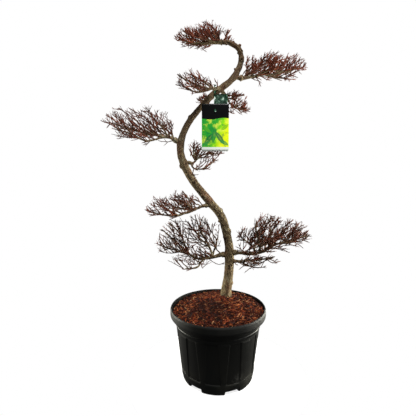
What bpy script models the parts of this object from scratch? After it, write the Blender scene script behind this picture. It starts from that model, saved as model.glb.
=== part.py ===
"""Larch trained in an S curve with pads of bare twigs, in a black nursery container.

Metres, +Z up, front towards -Y. The origin is the middle of the container's flat underside.
"""
import math

import bmesh
import bpy
import numpy as np
from mathutils import Vector

GAP = 0.0003                     # clearance left between pieces that touch

# Container: turned wall with flutes pressed into it and notches raised in its base.
POT_RIM_RADIUS = 0.227
POT_HEIGHT = 0.3405
POT_RIM_DEPTH = 0.038
POT_RIM_INSIDE = 0.2185
POT_SHELF_Z = 0.3095             # step inside, where the rim widens from the wall
POT_NECK_RADIUS = 0.2045         # wall just under the rim
POT_FOOT_RADIUS = 0.1745         # wall just above the rounded foot
POT_WALL = 0.003
POT_BASE = 0.004
FLUTE_COUNT = 12
FLUTE_PHASE = math.radians(21)   # first flute, from the front towards +X
FLUTE_DEPTH = 0.0042
FLUTE_LOW, FLUTE_HIGH = 0.050, 0.252
FLUTE_RAMP = 0.007
FLUTE_HALF = math.radians(11.2)  # half the width of a flute at the base
FLUTE_CLOSE = math.radians(18)   # how much narrower it is for each metre up
FLUTE_SIDE = math.radians(2.3)
NOTCH_HEIGHT = 0.016
NOTCH_RADIUS = 0.146             # the flat part of the base inside the notches
COLUMNS_PER_FLUTE = 4

# Mulch and soil.
MULCH_RADIUS = 0.2160
MULCH_EDGE_Z = 0.3155
MULCH_CROWN_Z = 0.3660
MULCH_CROWN = (0.030, 0.050)     # x and y of the mound's top, near the trunk
MULCH_RINGS = 12
MULCH_COLUMNS = 44
SOIL_EDGE_Z = POT_SHELF_Z + 0.001
SOIL_CROWN_Z = 0.3360
SOIL_SHOULDER = 0.190            # radius where the mound starts
SOIL_COLUMNS = 22
CHIP_COUNT = 170
CHIP_TILT = 0.30
CHIP_RISE = 0.0080
HOLE_CLEARANCE = 0.0006

# Trunk: points along its axis and the radius there, from the buried end to the top limb.
TRUNK = [
    ((0.038, 0.072, 0.235), 0.0250), ((0.041, 0.071, 0.310), 0.0262),
    ((0.044, 0.070, 0.374), 0.0265), ((0.050, 0.067, 0.440), 0.0240),
    ((0.057, 0.063, 0.530), 0.0222), ((0.052, 0.052, 0.635), 0.0205),
    ((0.019, 0.034, 0.760), 0.0200), ((-0.045, 0.018, 0.845), 0.0192),
    ((-0.103, 0.002, 0.918), 0.0181), ((-0.152, -0.014, 0.998), 0.0186),
    ((-0.172, -0.024, 1.080), 0.0165), ((-0.150, -0.024, 1.168), 0.0142),
    ((-0.092, -0.013, 1.250), 0.0139), ((-0.020, 0.001, 1.327), 0.0142),
    ((0.057, 0.012, 1.388), 0.0140), ((0.096, 0.016, 1.455), 0.0124),
    ((0.092, 0.010, 1.515), 0.0118), ((0.049, 0.000, 1.542), 0.0106),
    ((0.014, -0.007, 1.543), 0.0096),
]
TRUNK_SIDES = 10
TRUNK_RING_STEP = 0.036
# Knots left by pruned limbs: where on the axis, which way they face, how wide.
KNOTS = [
    ((0.098, 0.016, 1.474), (0.3, -1.0, 0.2), 0.0085),
    ((0.096, 0.014, 1.505), (0.9, -0.5, 0.4), 0.0080),
    ((-0.152, -0.014, 0.998), (-1.0, -0.3, 0.2), 0.0100),
    ((0.000, 0.028, 0.790), (0.9, -0.3, 0.5), 0.0110),
    ((0.043, 0.048, 0.672), (-0.7, -0.6, -0.3), 0.0105),
    ((0.056, 0.064, 0.520), (-0.2, -1.0, 0.1), 0.0095),
    ((0.047, 0.068, 0.425), (1.0, -0.4, 0.2), 0.0100),
]

# Pads. Each has limbs, as points along their axes from the trunk's axis outwards (the first is
# the main one, the others fork from it), the main limb's radius at its root, how many shoots
# are drawn, and lobes: the middle of each lobe's underside and its half sizes.
PADS = {
    "spray_apex": {
        "limbs": [
            [(0.014, -0.007, 1.543), (-0.020, -0.012, 1.540), (-0.055, -0.018, 1.534),
             (-0.095, -0.025, 1.531), (-0.130, -0.030, 1.533), (-0.168, -0.036, 1.541)],
            [(-0.040, -0.015, 1.537), (-0.070, 0.012, 1.540), (-0.105, 0.022, 1.547)]],
        "radius": 0.0090, "shoots": 64, "seed": 3,
        "lobes": [((-0.137, -0.030, 1.540), (0.062, 0.058, 0.056)),
                  ((-0.066, -0.020, 1.543), (0.074, 0.066, 0.078)),
                  ((0.004, -0.012, 1.552), (0.046, 0.050, 0.062))]},
    "spray_upper_right": {
        "limbs": [
            [(0.069, 0.013, 1.398), (0.120, 0.021, 1.399), (0.166, 0.030, 1.411),
             (0.208, 0.038, 1.420), (0.251, 0.046, 1.423), (0.310, 0.054, 1.438),
             (0.375, 0.058, 1.464)],
            [(0.208, 0.038, 1.420), (0.262, 0.072, 1.418), (0.322, 0.088, 1.420)],
            [(0.166, 0.030, 1.411), (0.215, 0.002, 1.424), (0.275, -0.012, 1.440)]],
        "radius": 0.0076, "shoots": 70, "seed": 11,
        "lobes": [((0.150, 0.032, 1.425), (0.046, 0.056, 0.076)),
                  ((0.243, 0.042, 1.430), (0.084, 0.094, 0.090)),
                  ((0.344, 0.052, 1.446), (0.064, 0.078, 0.064))]},
    "spray_upper_left": {
        "limbs": [
            [(0.006, 0.005, 1.348), (-0.006, -0.036, 1.340), (-0.048, -0.050, 1.333),
             (-0.082, -0.060, 1.342), (-0.116, -0.072, 1.352), (-0.149, -0.084, 1.366),
             (-0.178, -0.094, 1.380)],
            [(-0.036, -0.046, 1.335), (-0.060, -0.040, 1.360), (-0.093, -0.036, 1.383),
             (-0.135, -0.034, 1.400)],
            [(-0.048, -0.050, 1.333), (-0.074, -0.066, 1.317), (-0.105, -0.076, 1.315),
             (-0.140, -0.084, 1.327)]],
        "radius": 0.0066, "shoots": 46, "seed": 5,
        "lobes": [((-0.128, -0.064, 1.352), (0.064, 0.066, 0.050)),
                  ((-0.056, -0.050, 1.340), (0.058, 0.060, 0.052)),
                  ((-0.086, -0.066, 1.320), (0.066, 0.042, 0.022))]},
    "spray_upper_back": {
        "limbs": [
            [(0.006, 0.005, 1.348), (0.030, 0.036, 1.331), (0.055, 0.050, 1.296),
             (0.090, 0.064, 1.272), (0.142, 0.080, 1.276)],
            [(0.030, 0.036, 1.331), (0.070, 0.052, 1.330), (0.125, 0.072, 1.336)]],
        "radius": 0.0055, "shoots": 36, "seed": 8,
        "lobes": [((0.088, 0.066, 1.288), (0.056, 0.058, 0.070)),
                  ((0.103, 0.070, 1.259), (0.058, 0.048, 0.036))]},
    "spray_small_back": {
        "limbs": [[(-0.048, -0.004, 1.299), (-0.060, 0.030, 1.298), (-0.076, 0.052, 1.306)]],
        "radius": 0.0040, "shoots": 12, "seed": 2,
        "lobes": [((-0.072, 0.052, 1.302), (0.036, 0.044, 0.036))]},
    "spray_long_left": {
        "limbs": [
            [(-0.172, -0.026, 1.105), (-0.215, -0.036, 1.128), (-0.262, -0.048, 1.134),
             (-0.317, -0.062, 1.143), (-0.372, -0.074, 1.156), (-0.450, -0.090, 1.180)],
            [(-0.242, -0.042, 1.131), (-0.277, -0.072, 1.115), (-0.308, -0.090, 1.108),
             (-0.336, -0.100, 1.115), (-0.363, -0.108, 1.131), (-0.405, -0.116, 1.143)],
            [(-0.240, -0.042, 1.131), (-0.300, -0.018, 1.150), (-0.365, -0.010, 1.170)]],
        "radius": 0.0080, "shoots": 80, "seed": 21,
        "lobes": [((-0.412, -0.078, 1.170), (0.090, 0.080, 0.082)),
                  ((-0.312, -0.060, 1.152), (0.090, 0.098, 0.102)),
                  ((-0.230, -0.040, 1.140), (0.050, 0.058, 0.072)),
                  ((-0.330, -0.095, 1.116), (0.080, 0.036, 0.020))]},
    "spray_short_right": {
        "limbs": [
            [(-0.160, -0.019, 1.024), (-0.118, -0.014, 1.016), (-0.091, -0.012, 1.041),
             (-0.057, -0.006, 1.058), (0.012, 0.006, 1.060)],
            [(-0.124, -0.015, 1.017), (-0.112, -0.030, 0.993), (-0.078, -0.040, 0.989),
             (-0.043, -0.045, 1.005)]],
        "radius": 0.0050, "shoots": 38, "seed": 14,
        "lobes": [((-0.102, 0.000, 1.052), (0.046, 0.052, 0.068)),
                  ((-0.025, 0.005, 1.058), (0.058, 0.050, 0.032)),
                  ((-0.070, -0.034, 0.988), (0.044, 0.028, 0.022))]},
    "spray_left_lower": {
        "limbs": [
            [(-0.024, 0.025, 0.826), (-0.078, 0.006, 0.818), (-0.119, -0.012, 0.800),
             (-0.165, -0.030, 0.785), (-0.210, -0.045, 0.779), (-0.310, -0.070, 0.800)],
            [(-0.119, -0.012, 0.800), (-0.170, 0.010, 0.806), (-0.225, 0.014, 0.818)],
            [(-0.116, -0.010, 0.801), (-0.126, 0.000, 0.830), (-0.144, 0.006, 0.860),
             (-0.170, 0.008, 0.892)]],
        "radius": 0.0068, "shoots": 56, "seed": 31,
        "lobes": [((-0.258, -0.058, 0.796), (0.076, 0.066, 0.074)),
                  ((-0.180, -0.036, 0.802), (0.074, 0.088, 0.084)),
                  ((-0.112, -0.010, 0.826), (0.040, 0.048, 0.050))]},
    "spray_low_left": {
        "limbs": [
            [(0.056, 0.058, 0.582), (0.010, 0.074, 0.568), (-0.048, 0.088, 0.550),
             (-0.108, 0.102, 0.545), (-0.155, 0.112, 0.576), (-0.212, 0.128, 0.624),
             (-0.288, 0.146, 0.688)],
            [(-0.020, 0.082, 0.556), (-0.050, 0.096, 0.625), (-0.088, 0.104, 0.690),
             (-0.105, 0.108, 0.742)],
            [(-0.120, 0.106, 0.556), (-0.190, 0.098, 0.580), (-0.290, 0.084, 0.616)],
            [(-0.078, 0.096, 0.548), (-0.098, 0.084, 0.506), (-0.165, 0.070, 0.498)],
            [(-0.154, 0.112, 0.576), (-0.172, 0.102, 0.638), (-0.203, 0.098, 0.690),
             (-0.242, 0.096, 0.730)],
            [(-0.028, 0.084, 0.555), (-0.010, 0.104, 0.606), (0.004, 0.114, 0.654)]],
        "radius": 0.0100, "shoots": 100, "seed": 44,
        "lobes": [((-0.206, 0.118, 0.626), (0.110, 0.084, 0.118)),
                  ((-0.104, 0.104, 0.640), (0.092, 0.096, 0.136)),
                  ((-0.026, 0.104, 0.616), (0.050, 0.058, 0.120)),
                  ((-0.220, 0.098, 0.570), (0.086, 0.052, 0.036)),
                  ((-0.130, 0.078, 0.503), (0.070, 0.036, 0.024))]},
    "spray_low_right": {
        "limbs": [
            [(0.056, 0.058, 0.586), (0.110, 0.042, 0.588), (0.160, 0.026, 0.586),
             (0.215, 0.004, 0.604), (0.259, -0.014, 0.638), (0.330, -0.036, 0.662),
             (0.403, -0.056, 0.692)],
            [(0.230, 0.000, 0.614), (0.246, 0.012, 0.667), (0.246, 0.018, 0.714),
             (0.236, 0.022, 0.762)],
            [(0.300, -0.027, 0.650), (0.345, -0.010, 0.702), (0.366, -0.002, 0.742)],
            [(0.186, 0.018, 0.590), (0.159, 0.030, 0.626), (0.130, 0.038, 0.650),
             (0.107, 0.044, 0.668)],
            [(0.200, 0.010, 0.598), (0.184, -0.030, 0.664), (0.168, -0.050, 0.716),
             (0.170, -0.058, 0.760)]],
        "radius": 0.0088, "shoots": 96, "seed": 52,
        "lobes": [((0.134, 0.030, 0.618), (0.060, 0.062, 0.102)),
                  ((0.238, -0.008, 0.656), (0.092, 0.104, 0.132)),
                  ((0.342, -0.028, 0.668), (0.086, 0.090, 0.098))]},
    "spray_low_right_under": {
        "limbs": [
            [(0.057, 0.062, 0.541), (0.100, 0.046, 0.545), (0.150, 0.018, 0.556),
             (0.205, -0.012, 0.570), (0.262, -0.038, 0.590)],
            [(0.108, 0.043, 0.546), (0.138, 0.036, 0.530), (0.172, 0.026, 0.522),
             (0.204, 0.016, 0.521)]],
        "radius": 0.0060, "shoots": 32, "seed": 63,
        "lobes": [((0.205, -0.014, 0.562), (0.090, 0.056, 0.026)),
                  ((0.144, 0.026, 0.532), (0.072, 0.046, 0.028))]},
}
SHOOT_STEP = 0.026               # length of the straight pieces that a shoot is made of
SHOOT_SHORTEST = 0.012
LEAD_CHOICES = 7
SHOOT_EASE = 1.8                 # how much longer a way is taken to avoid a sharp turn
SHOOT_RISE = 1.2                 # how much longer a way is taken to end rising and outwards
SHOOT_CLEARANCE = 0.013          # between shoots of one pad and whatever else stands there
SHOOT_HOLD = 0.42                # how much a shoot keeps its parent's direction at first
SHOOT_TURN, LIMB_TURN = 0.35, -0.20  # cosines of the sharpest turns off a shoot and a limb
TWIG_TIP = 0.0014
TWIG_POWER = 2.4                 # thickness: r^power of a stem is the sum of its branches'
LIMB_TIP = 0.0028
LIMB_SIDES = 6
LIMB_STEP = 0.024
TWIG_SIDES = 3
TWIG_BEND = 0.0060               # bends shallower than this are left out of a twig
COLLAR_PROUD = 0.007             # how far a limb's collar stands out of the trunk

# Hanging label.
TAG_CENTRE = (-0.016, -0.0555, 1.168)
TAG_SIZE = (0.118, 0.001, 0.203)
TAG_CORNER = 0.003
TAG_SLOT = (-0.017, 1.2400)      # x and z of the slot's middle
TAG_SLOT_SIZE = (0.0060, 0.0100)
STRAP_WIDTH, STRAP_THICK = 0.0080, 0.0010
STRAP_RING = [(-0.0530, 1.2400), (-0.0440, 1.2850), (-0.0240, 1.3220), (-0.0225, 1.3440),
              (-0.0130, 1.3600), (0.0050, 1.3640), (0.0210, 1.3480), (0.0225, 1.3200),
              (0.0080, 1.2860), (-0.0200, 1.2560)]
TONGUE_SIZE = (0.052, 0.0010, 0.050)
TONGUE_CENTRE = (0.0110, -0.0505, 1.2860)

COLLECTION = bpy.data.collections.new("larch_bonsai")


def clear_scene():
    """Empties the scene and links the part's own collection."""
    for leftover in list(bpy.data.objects):
        bpy.data.objects.remove(leftover, do_unlink=True)
    bpy.context.scene.collection.children.link(COLLECTION)


def finish_material(name, colour, roughness, metallic=0.0):
    """A Principled material with one colour."""
    material = bpy.data.materials.new(name)
    material.use_nodes = True
    shader = material.node_tree.nodes["Principled BSDF"]
    shader.inputs["Base Color"].default_value = (*colour, 1.0)
    shader.inputs["Roughness"].default_value = roughness
    shader.inputs["Metallic"].default_value = metallic
    return material


def add_object(name, mesh, material=None):
    """Links a mesh to the part's collection as a named object."""
    piece = bpy.data.objects.new(name, mesh)
    COLLECTION.objects.link(piece)
    if material:
        mesh.materials.clear()
        mesh.materials.append(material)
    return piece


def mesh_from(name, build):
    """Runs build(bm) on an empty bmesh and returns the closed, triangulated mesh."""
    bm = bmesh.new()
    build(bm)
    bmesh.ops.triangulate(bm, faces=bm.faces)
    bmesh.ops.recalc_face_normals(bm, faces=bm.faces)
    mesh = bpy.data.meshes.new(name)
    bm.to_mesh(mesh)
    bm.free()
    return mesh


def evaluated_mesh(piece):
    """The mesh that the object's modifiers give."""
    depsgraph = bpy.context.evaluated_depsgraph_get()
    depsgraph.update()
    return bpy.data.meshes.new_from_object(piece.evaluated_get(depsgraph))


def fuse(name, pieces, material, operation='UNION', solver='EXACT'):
    """Joins the pieces, or cuts all but the first from it, and leaves one object."""
    group = bpy.data.collections.new(name + "_pieces")
    for piece in pieces[1:]:
        group.objects.link(piece)
    body = pieces[0]
    boolean = body.modifiers.new("Fuse", 'BOOLEAN')
    boolean.operation = operation
    boolean.operand_type = 'COLLECTION'
    boolean.collection = group
    boolean.solver = solver
    mesh = evaluated_mesh(body)
    for piece in pieces:
        bpy.data.objects.remove(piece, do_unlink=True)
    bpy.data.collections.remove(group)
    mesh.name = name
    return add_object(name, mesh, material)


def smooth_path(points, step):
    """A Catmull-Rom curve through the points, as points about one step apart."""
    points = [np.array(p, float) for p in points]
    ends = [2 * points[0] - points[1]] + points + [2 * points[-1] - points[-2]]
    path = []
    for a, b, c, d in zip(ends, ends[1:], ends[2:], ends[3:]):
        pieces = max(1, round(np.linalg.norm(c[:3] - b[:3]) / step))
        for i in range(pieces):
            t = i / pieces
            path.append(0.5 * (2 * b + (c - a) * t + (2 * a - 5 * b + 4 * c - d) * t ** 2
                               + (3 * b - a - 3 * c + d) * t ** 3))
    return np.array(path + [points[-1]])


def tube_mesh(name, path, radii, sides, pointed=False, relief=None):
    """A closed tube with a ring of `sides` points square to the path at each of its points."""
    path = np.asarray(path, float)
    steps = np.diff(path, axis=0)
    steps /= np.linalg.norm(steps, axis=1)[:, None]
    tangents = np.vstack([steps[:1], steps[:-1] + steps[1:], steps[-1:]])

    def build(bm):
        across = Vector((0.31, -0.87, 0.38))
        rings = []
        for i, (point, tangent) in enumerate(zip(path, tangents)):
            along = Vector(tangent).normalized()
            across = (across - along * across.dot(along)).normalized()
            if pointed and i == len(path) - 1:
                rings.append([bm.verts.new(point)])
                continue
            ring = []
            for k in range(sides):
                turn = 2 * math.pi * k / sides
                out = across * math.cos(turn) + along.cross(across) * math.sin(turn)
                radius = radii[i] * (relief(i, k) if relief else 1.0)
                ring.append(bm.verts.new(Vector(point) + out * radius))
            rings.append(ring)
        for low, high in zip(rings, rings[1:]):
            for k in range(sides):
                corners = [low[k], low[(k + 1) % sides]]
                corners += [high[0]] if len(high) == 1 else [high[(k + 1) % sides], high[k]]
                bm.faces.new(corners)
        bm.faces.new(list(reversed(rings[0])))
        if len(rings[-1]) > 1:
            bm.faces.new(rings[-1])
    return mesh_from(name, build)


def turned_mesh(name, profile, columns, place=None):
    """A profile of (radius, z) from the axis out and back to it, turned round the Z axis.

    place(azimuth index, radius, z) may give each point an (azimuth, radius, z) of its own.
    """
    bm = bmesh.new()
    edge_points = [bm.verts.new((radius, 0.0, z)) for radius, z in profile]
    for a, b in zip(edge_points, edge_points[1:]):
        bm.edges.new((a, b))
    outline = bpy.data.meshes.new(name)
    bm.to_mesh(outline)
    bm.free()
    piece = add_object(name + "_outline", outline)
    screw = piece.modifiers.new("Turn", 'SCREW')
    screw.steps = screw.render_steps = columns
    screw.use_merge_vertices = True
    screw.merge_threshold = 0.00001
    mesh = evaluated_mesh(piece)
    bpy.data.objects.remove(piece, do_unlink=True)
    if place:
        for vertex in mesh.vertices:
            x, y, z = vertex.co
            column = round(math.atan2(y, x) / (2 * math.pi) * columns) % columns
            azimuth, radius, z = place(column, math.hypot(x, y), z)
            # Azimuth is measured from the front, -Y, towards +X.
            vertex.co = (radius * math.sin(azimuth), -radius * math.cos(azimuth), z)

    def build(closed):
        closed.from_mesh(mesh)
        bmesh.ops.remove_doubles(closed, verts=closed.verts, dist=0.00001)
    return mesh_from(name, build)


def pot_column(column, radius, z):
    """Moves a column of the turned wall to a flute's edges, and presses in flute and notch."""
    flute, place = divmod(column, COLUMNS_PER_FLUTE)
    # Two columns close together stand at each side of the flute, where its wall slopes. The
    # columns are evenly spaced above the flutes.
    half = FLUTE_HALF - FLUTE_CLOSE * z
    pressed = place in (1, 2)
    offset = (half if pressed else half + FLUTE_SIDE) * (-1 if place < 2 else 1)
    if z > FLUTE_HIGH + 0.005:
        offset = (place - 1.5) * 2 * math.pi / FLUTE_COUNT / COLUMNS_PER_FLUTE
    azimuth = FLUTE_PHASE + flute * 2 * math.pi / FLUTE_COUNT + offset
    ramp = min(z - FLUTE_LOW, FLUTE_HIGH - z) / FLUTE_RAMP
    if pressed and ramp > -0.01 and radius > NOTCH_RADIUS + 0.02:
        radius -= FLUTE_DEPTH * min(1.0, max(0.0, ramp))
    notch_start = NOTCH_RADIUS - 0.0005 if z < POT_BASE / 2 else NOTCH_RADIUS - POT_WALL - 0.0005
    if pressed and flute % 2 == 0 and z < NOTCH_HEIGHT and radius > notch_start:
        z += NOTCH_HEIGHT
    return azimuth, radius, z


def make_pot(material):
    """The container: one wall from the base to the rolled rim and down its inside."""
    slope = (POT_NECK_RADIUS - POT_FOOT_RADIUS) / (POT_HEIGHT - POT_RIM_DEPTH - 0.034)

    def wall(z):
        return POT_FOOT_RADIUS + slope * (z - 0.034)

    rim_z = POT_HEIGHT - POT_RIM_DEPTH
    outside = [
        (0.0, 0.0), (NOTCH_RADIUS - 0.001, 0.0), (NOTCH_RADIUS, 0.0001),
        (0.163, 0.0), (0.169, 0.0045), (wall(0.034), 0.034),
        (wall(FLUTE_LOW), FLUTE_LOW), (wall(FLUTE_LOW), FLUTE_LOW + FLUTE_RAMP),
        (wall(FLUTE_HIGH), FLUTE_HIGH - FLUTE_RAMP), (wall(FLUTE_HIGH), FLUTE_HIGH),
        (wall(0.262), 0.262), (wall(0.262) + 0.002, 0.266),
        (wall(rim_z), rim_z - 0.006), (POT_RIM_RADIUS - 0.003, rim_z),
        (POT_RIM_RADIUS, rim_z + 0.005), (POT_RIM_RADIUS, POT_HEIGHT - 0.007),
        (POT_RIM_RADIUS - 0.004, POT_HEIGHT)]
    inside = [
        (POT_RIM_INSIDE + 0.001, POT_HEIGHT - 0.001), (POT_RIM_INSIDE, POT_SHELF_Z),
        (wall(rim_z) - POT_WALL, POT_SHELF_Z - 0.002),
        (wall(FLUTE_HIGH) - POT_WALL, FLUTE_HIGH),
        (wall(FLUTE_HIGH) - POT_WALL, FLUTE_HIGH - FLUTE_RAMP),
        (wall(FLUTE_LOW) - POT_WALL, FLUTE_LOW + FLUTE_RAMP),
        (wall(FLUTE_LOW) - POT_WALL, FLUTE_LOW), (wall(0.034) - POT_WALL, 0.034),
        (0.163, POT_BASE), (NOTCH_RADIUS - POT_WALL, POT_BASE + 0.0001),
        (NOTCH_RADIUS - POT_WALL - 0.001, POT_BASE), (0.0, POT_BASE)]
    columns = FLUTE_COUNT * COLUMNS_PER_FLUTE
    return add_object("pot", turned_mesh("pot", outside + inside, columns, pot_column), material)


def trunk_axis(step):
    """The trunk's axis, as rows of x, y, z and radius about one step apart."""
    return smooth_path([(*point, radius) for point, radius in TRUNK], step)


def trunk_hole():
    """A cutter that follows the buried end of the trunk a little way outside it."""
    buried = [row for row in trunk_axis(TRUNK_RING_STEP) if row[2] < 0.45]
    path = np.array(buried)[:, :3]
    radii = np.array(buried)[:, 3] + HOLE_CLEARANCE
    start = path[0] + (path[0] - path[1]) / np.linalg.norm(path[1] - path[0]) * HOLE_CLEARANCE
    path = np.vstack([start, path[1:]])
    return add_object("trunk_hole", tube_mesh("trunk_hole", path, radii, TRUNK_SIDES))


def make_soil(material):
    """The potting mix: it stands on the base and clears the flutes and the notches."""
    # A flute's floor is flat, so its middle stands further in than its two sides.
    clear = POT_WALL + FLUTE_DEPTH + 0.0055
    profile = [
        (0.0, POT_BASE + GAP), (NOTCH_RADIUS - POT_WALL - 0.005, POT_BASE + GAP),
        (NOTCH_RADIUS - POT_WALL - 0.005, POT_BASE + NOTCH_HEIGHT + 0.001),
        (0.156, POT_BASE + NOTCH_HEIGHT + 0.001), (POT_FOOT_RADIUS - clear, 0.037),
        (POT_NECK_RADIUS - clear, POT_SHELF_Z - 0.006),
        (POT_NECK_RADIUS - clear, SOIL_EDGE_Z), (SOIL_SHOULDER, SOIL_EDGE_Z),
        (0.0, SOIL_CROWN_Z)]
    soil = add_object("soil_body", turned_mesh("soil_body", profile, SOIL_COLUMNS))
    return fuse("soil", [soil, trunk_hole()], material, 'DIFFERENCE')


def make_mulch(material):
    """The bark mulch: a mounded layer whose top is broken into tilted chips."""
    rng = np.random.default_rng(17)
    chips = rng.uniform(-MULCH_RADIUS, MULCH_RADIUS, (CHIP_COUNT, 2))
    lay = rng.uniform(0, math.pi, CHIP_COUNT)
    tilts = rng.uniform(-CHIP_TILT, CHIP_TILT, (CHIP_COUNT, 2))
    rises = rng.uniform(0.0, CHIP_RISE, CHIP_COUNT)
    rings = [(MULCH_RADIUS * (1 - i / MULCH_RINGS), MULCH_EDGE_Z) for i in range(MULCH_RINGS + 1)]
    underside = [(0.0, SOIL_CROWN_Z + GAP), (SOIL_SHOULDER, SOIL_EDGE_Z + GAP),
                 (MULCH_RADIUS, SOIL_EDGE_Z + GAP)]
    mesh = turned_mesh("mulch_body", underside + rings, MULCH_COLUMNS)
    for vertex in mesh.vertices:
        x, y, z = vertex.co
        from_axis = math.hypot(x, y)
        if z < MULCH_EDGE_Z - 0.0001 or abs(from_axis) > MULCH_RADIUS - 0.0001:
            continue
        if from_axis > 0.001:
            x += rng.uniform(-0.004, 0.004)
            y += rng.uniform(-0.004, 0.004)
        # A chip is three times as long as it is wide, so distance counts triple across it.
        offset = np.array((x, y)) - chips
        along = offset[:, 0] * np.cos(lay) + offset[:, 1] * np.sin(lay)
        across = offset[:, 1] * np.cos(lay) - offset[:, 0] * np.sin(lay)
        chip = int(np.argmin(along ** 2 + 9 * across ** 2))
        away = math.hypot(x - MULCH_CROWN[0], y - MULCH_CROWN[1]) / (MULCH_RADIUS * 1.15)
        mound = max(0.0, 1 - away) ** 1.2 * (MULCH_CROWN_Z - MULCH_EDGE_Z)
        edge = min(1.0, (MULCH_RADIUS - from_axis) / 0.03)
        relief = rises[chip] + tilts[chip] @ np.clip(offset[chip], -0.02, 0.02)
        vertex.co = (x, y, MULCH_EDGE_Z + mound + edge * max(relief, -0.002))
    body = add_object("mulch_body", mesh)
    return fuse("bark_mulch", [body, trunk_hole()], material, 'DIFFERENCE')


def trunk_at(point):
    """The trunk's radius and direction at the place on its axis that is nearest the point."""
    axis = trunk_axis(0.01)
    near = int(np.argmin(np.linalg.norm(axis[:, :3] - point, axis=1)))
    chord = axis[min(near + 1, len(axis) - 1), :3] - axis[max(near - 1, 0), :3]
    return axis[near, 3], chord / np.linalg.norm(chord)


def limb_start(pad):
    """Where a pad's main limb leaves its collar, and the direction it leaves in."""
    root, second = np.array(pad["limbs"][0][0]), np.array(pad["limbs"][0][1])
    out = (second - root) / np.linalg.norm(second - root)
    if tuple(root) == TRUNK[-1][0]:
        return root, out
    trunk_radius, trunk_course = trunk_at(root)
    lean = abs(out @ trunk_course)
    # A limb that leans along the trunk leaves its surface further from the axis.
    reach = (trunk_radius + pad["radius"] * lean) / math.sqrt(1 - lean ** 2)
    return root + out * (reach + COLLAR_PROUD), out


def make_trunk(material):
    """The trunk with its rough bark, the collars of the limbs and the pruning knots."""
    rng = np.random.default_rng(7)
    axis = trunk_axis(TRUNK_RING_STEP)
    rough = rng.uniform(0.955, 1.03, (len(axis), TRUNK_SIDES))
    buried = axis[:, 2] < 0.40
    rough[buried] = 1.0
    body = tube_mesh("trunk_body", axis[:, :3], axis[:, 3], TRUNK_SIDES,
                     relief=lambda ring, side: rough[ring, side])
    pieces = [add_object("trunk_body", body)]
    for name, pad in PADS.items():
        start, out = limb_start(pad)
        root = np.array(pad["limbs"][0][0])
        if np.allclose(start, root):
            continue
        radii = [pad["radius"] * 1.5, pad["radius"] * 1.4, pad["radius"] * 1.03]
        collar = tube_mesh("collar_" + name, [root, (root + start) / 2, start], radii, LIMB_SIDES)
        pieces.append(add_object("collar_" + name, collar))
    for number, (place, facing, radius) in enumerate(KNOTS):
        out = np.array(facing) / np.linalg.norm(facing)
        tip = np.array(place) + out * (trunk_at(place)[0] + 0.004)
        mesh = tube_mesh("knot", [place, tip - 0.003 * out, tip],
                         [radius * 1.3, radius, radius * 0.6], 7)
        pieces.append(add_object("knot_%d" % number, mesh))
    return fuse("trunk", pieces, material)


class Skeleton:
    """Axis points of one pad: where each is, which it grows from and how thick it is there."""

    def __init__(self):
        self.points, self.parents, self.limbs, self.radii = [], [], [], []

    def add(self, point, parent, limb, radius=0.0):
        self.points.append(np.array(point, float))
        self.parents.append(parent)
        self.limbs.append(limb)
        self.radii.append(radius)
        return len(self.points) - 1

    def heading(self, node):
        """The direction in which the stem reaches this point."""
        parent = self.parents[node]
        if parent < 0:
            return np.zeros(3)
        step = self.points[node] - self.points[parent]
        return step / max(np.linalg.norm(step), 1e-9)


def lay_limbs(pad):
    """The pad's limbs as a skeleton, each tapered from where it forks to its tip."""
    skeleton = Skeleton()
    start, out = limb_start(pad)
    start = start + out * (0.0012 if tuple(pad["limbs"][0][0]) == TRUNK[-1][0] else GAP)
    for number, limb in enumerate(pad["limbs"]):
        if number == 0:
            path = smooth_path([start + 0.003 * out] + limb[1:], LIMB_STEP)
            parent, root_radius = skeleton.add(start, -1, number, pad["radius"]), pad["radius"]
        else:
            path = smooth_path(limb, LIMB_STEP)
            main = [i for i, limb_number in enumerate(skeleton.limbs) if limb_number == 0]
            parent = min(main, key=lambda i: np.linalg.norm(skeleton.points[i] - path[0]))
            root_radius = 0.78 * skeleton.radii[parent]
            path = path[1:]
        for i, point in enumerate(path):
            along = (i + 1) / len(path)
            radius = root_radius * (1 - along) + LIMB_TIP * along
            parent = skeleton.add(point, parent, number, radius)
    return skeleton


def draw_leads(pad):
    """Points spread evenly through the domed lobes of the pad."""
    rng = np.random.default_rng(pad["seed"])
    sizes = np.array([half[0] * half[1] * half[2] for _, half in pad["lobes"]]) ** 0.7
    leads = []
    while len(leads) < pad["shoots"]:
        spots = []
        while len(spots) < LEAD_CHOICES:
            middle, half = pad["lobes"][rng.choice(len(sizes), p=sizes / sizes.sum())]
            offset = rng.uniform(-1, 1, 3)
            if 0.4 < np.linalg.norm(offset) < 1 and offset[2] > -0.15:
                spots.append(np.array(middle) + offset * half)
        # Of the spots drawn, the one with the most room round it is kept.
        room = [min([np.linalg.norm(spot - lead) for lead in leads], default=0) for spot in spots]
        leads.append(spots[int(np.argmax(room))])
    return np.array(leads)


def rising(spots, root):
    """The way shoots point at each of the spots: up, and away from the pad's root."""
    away = (spots - root) * (1, 1, 0)
    away /= np.maximum(np.linalg.norm(away, axis=-1), 1e-6)[..., None]
    ways = 0.7 * away + (0, 0, 0.75)
    return ways / np.linalg.norm(ways, axis=-1)[..., None]


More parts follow.
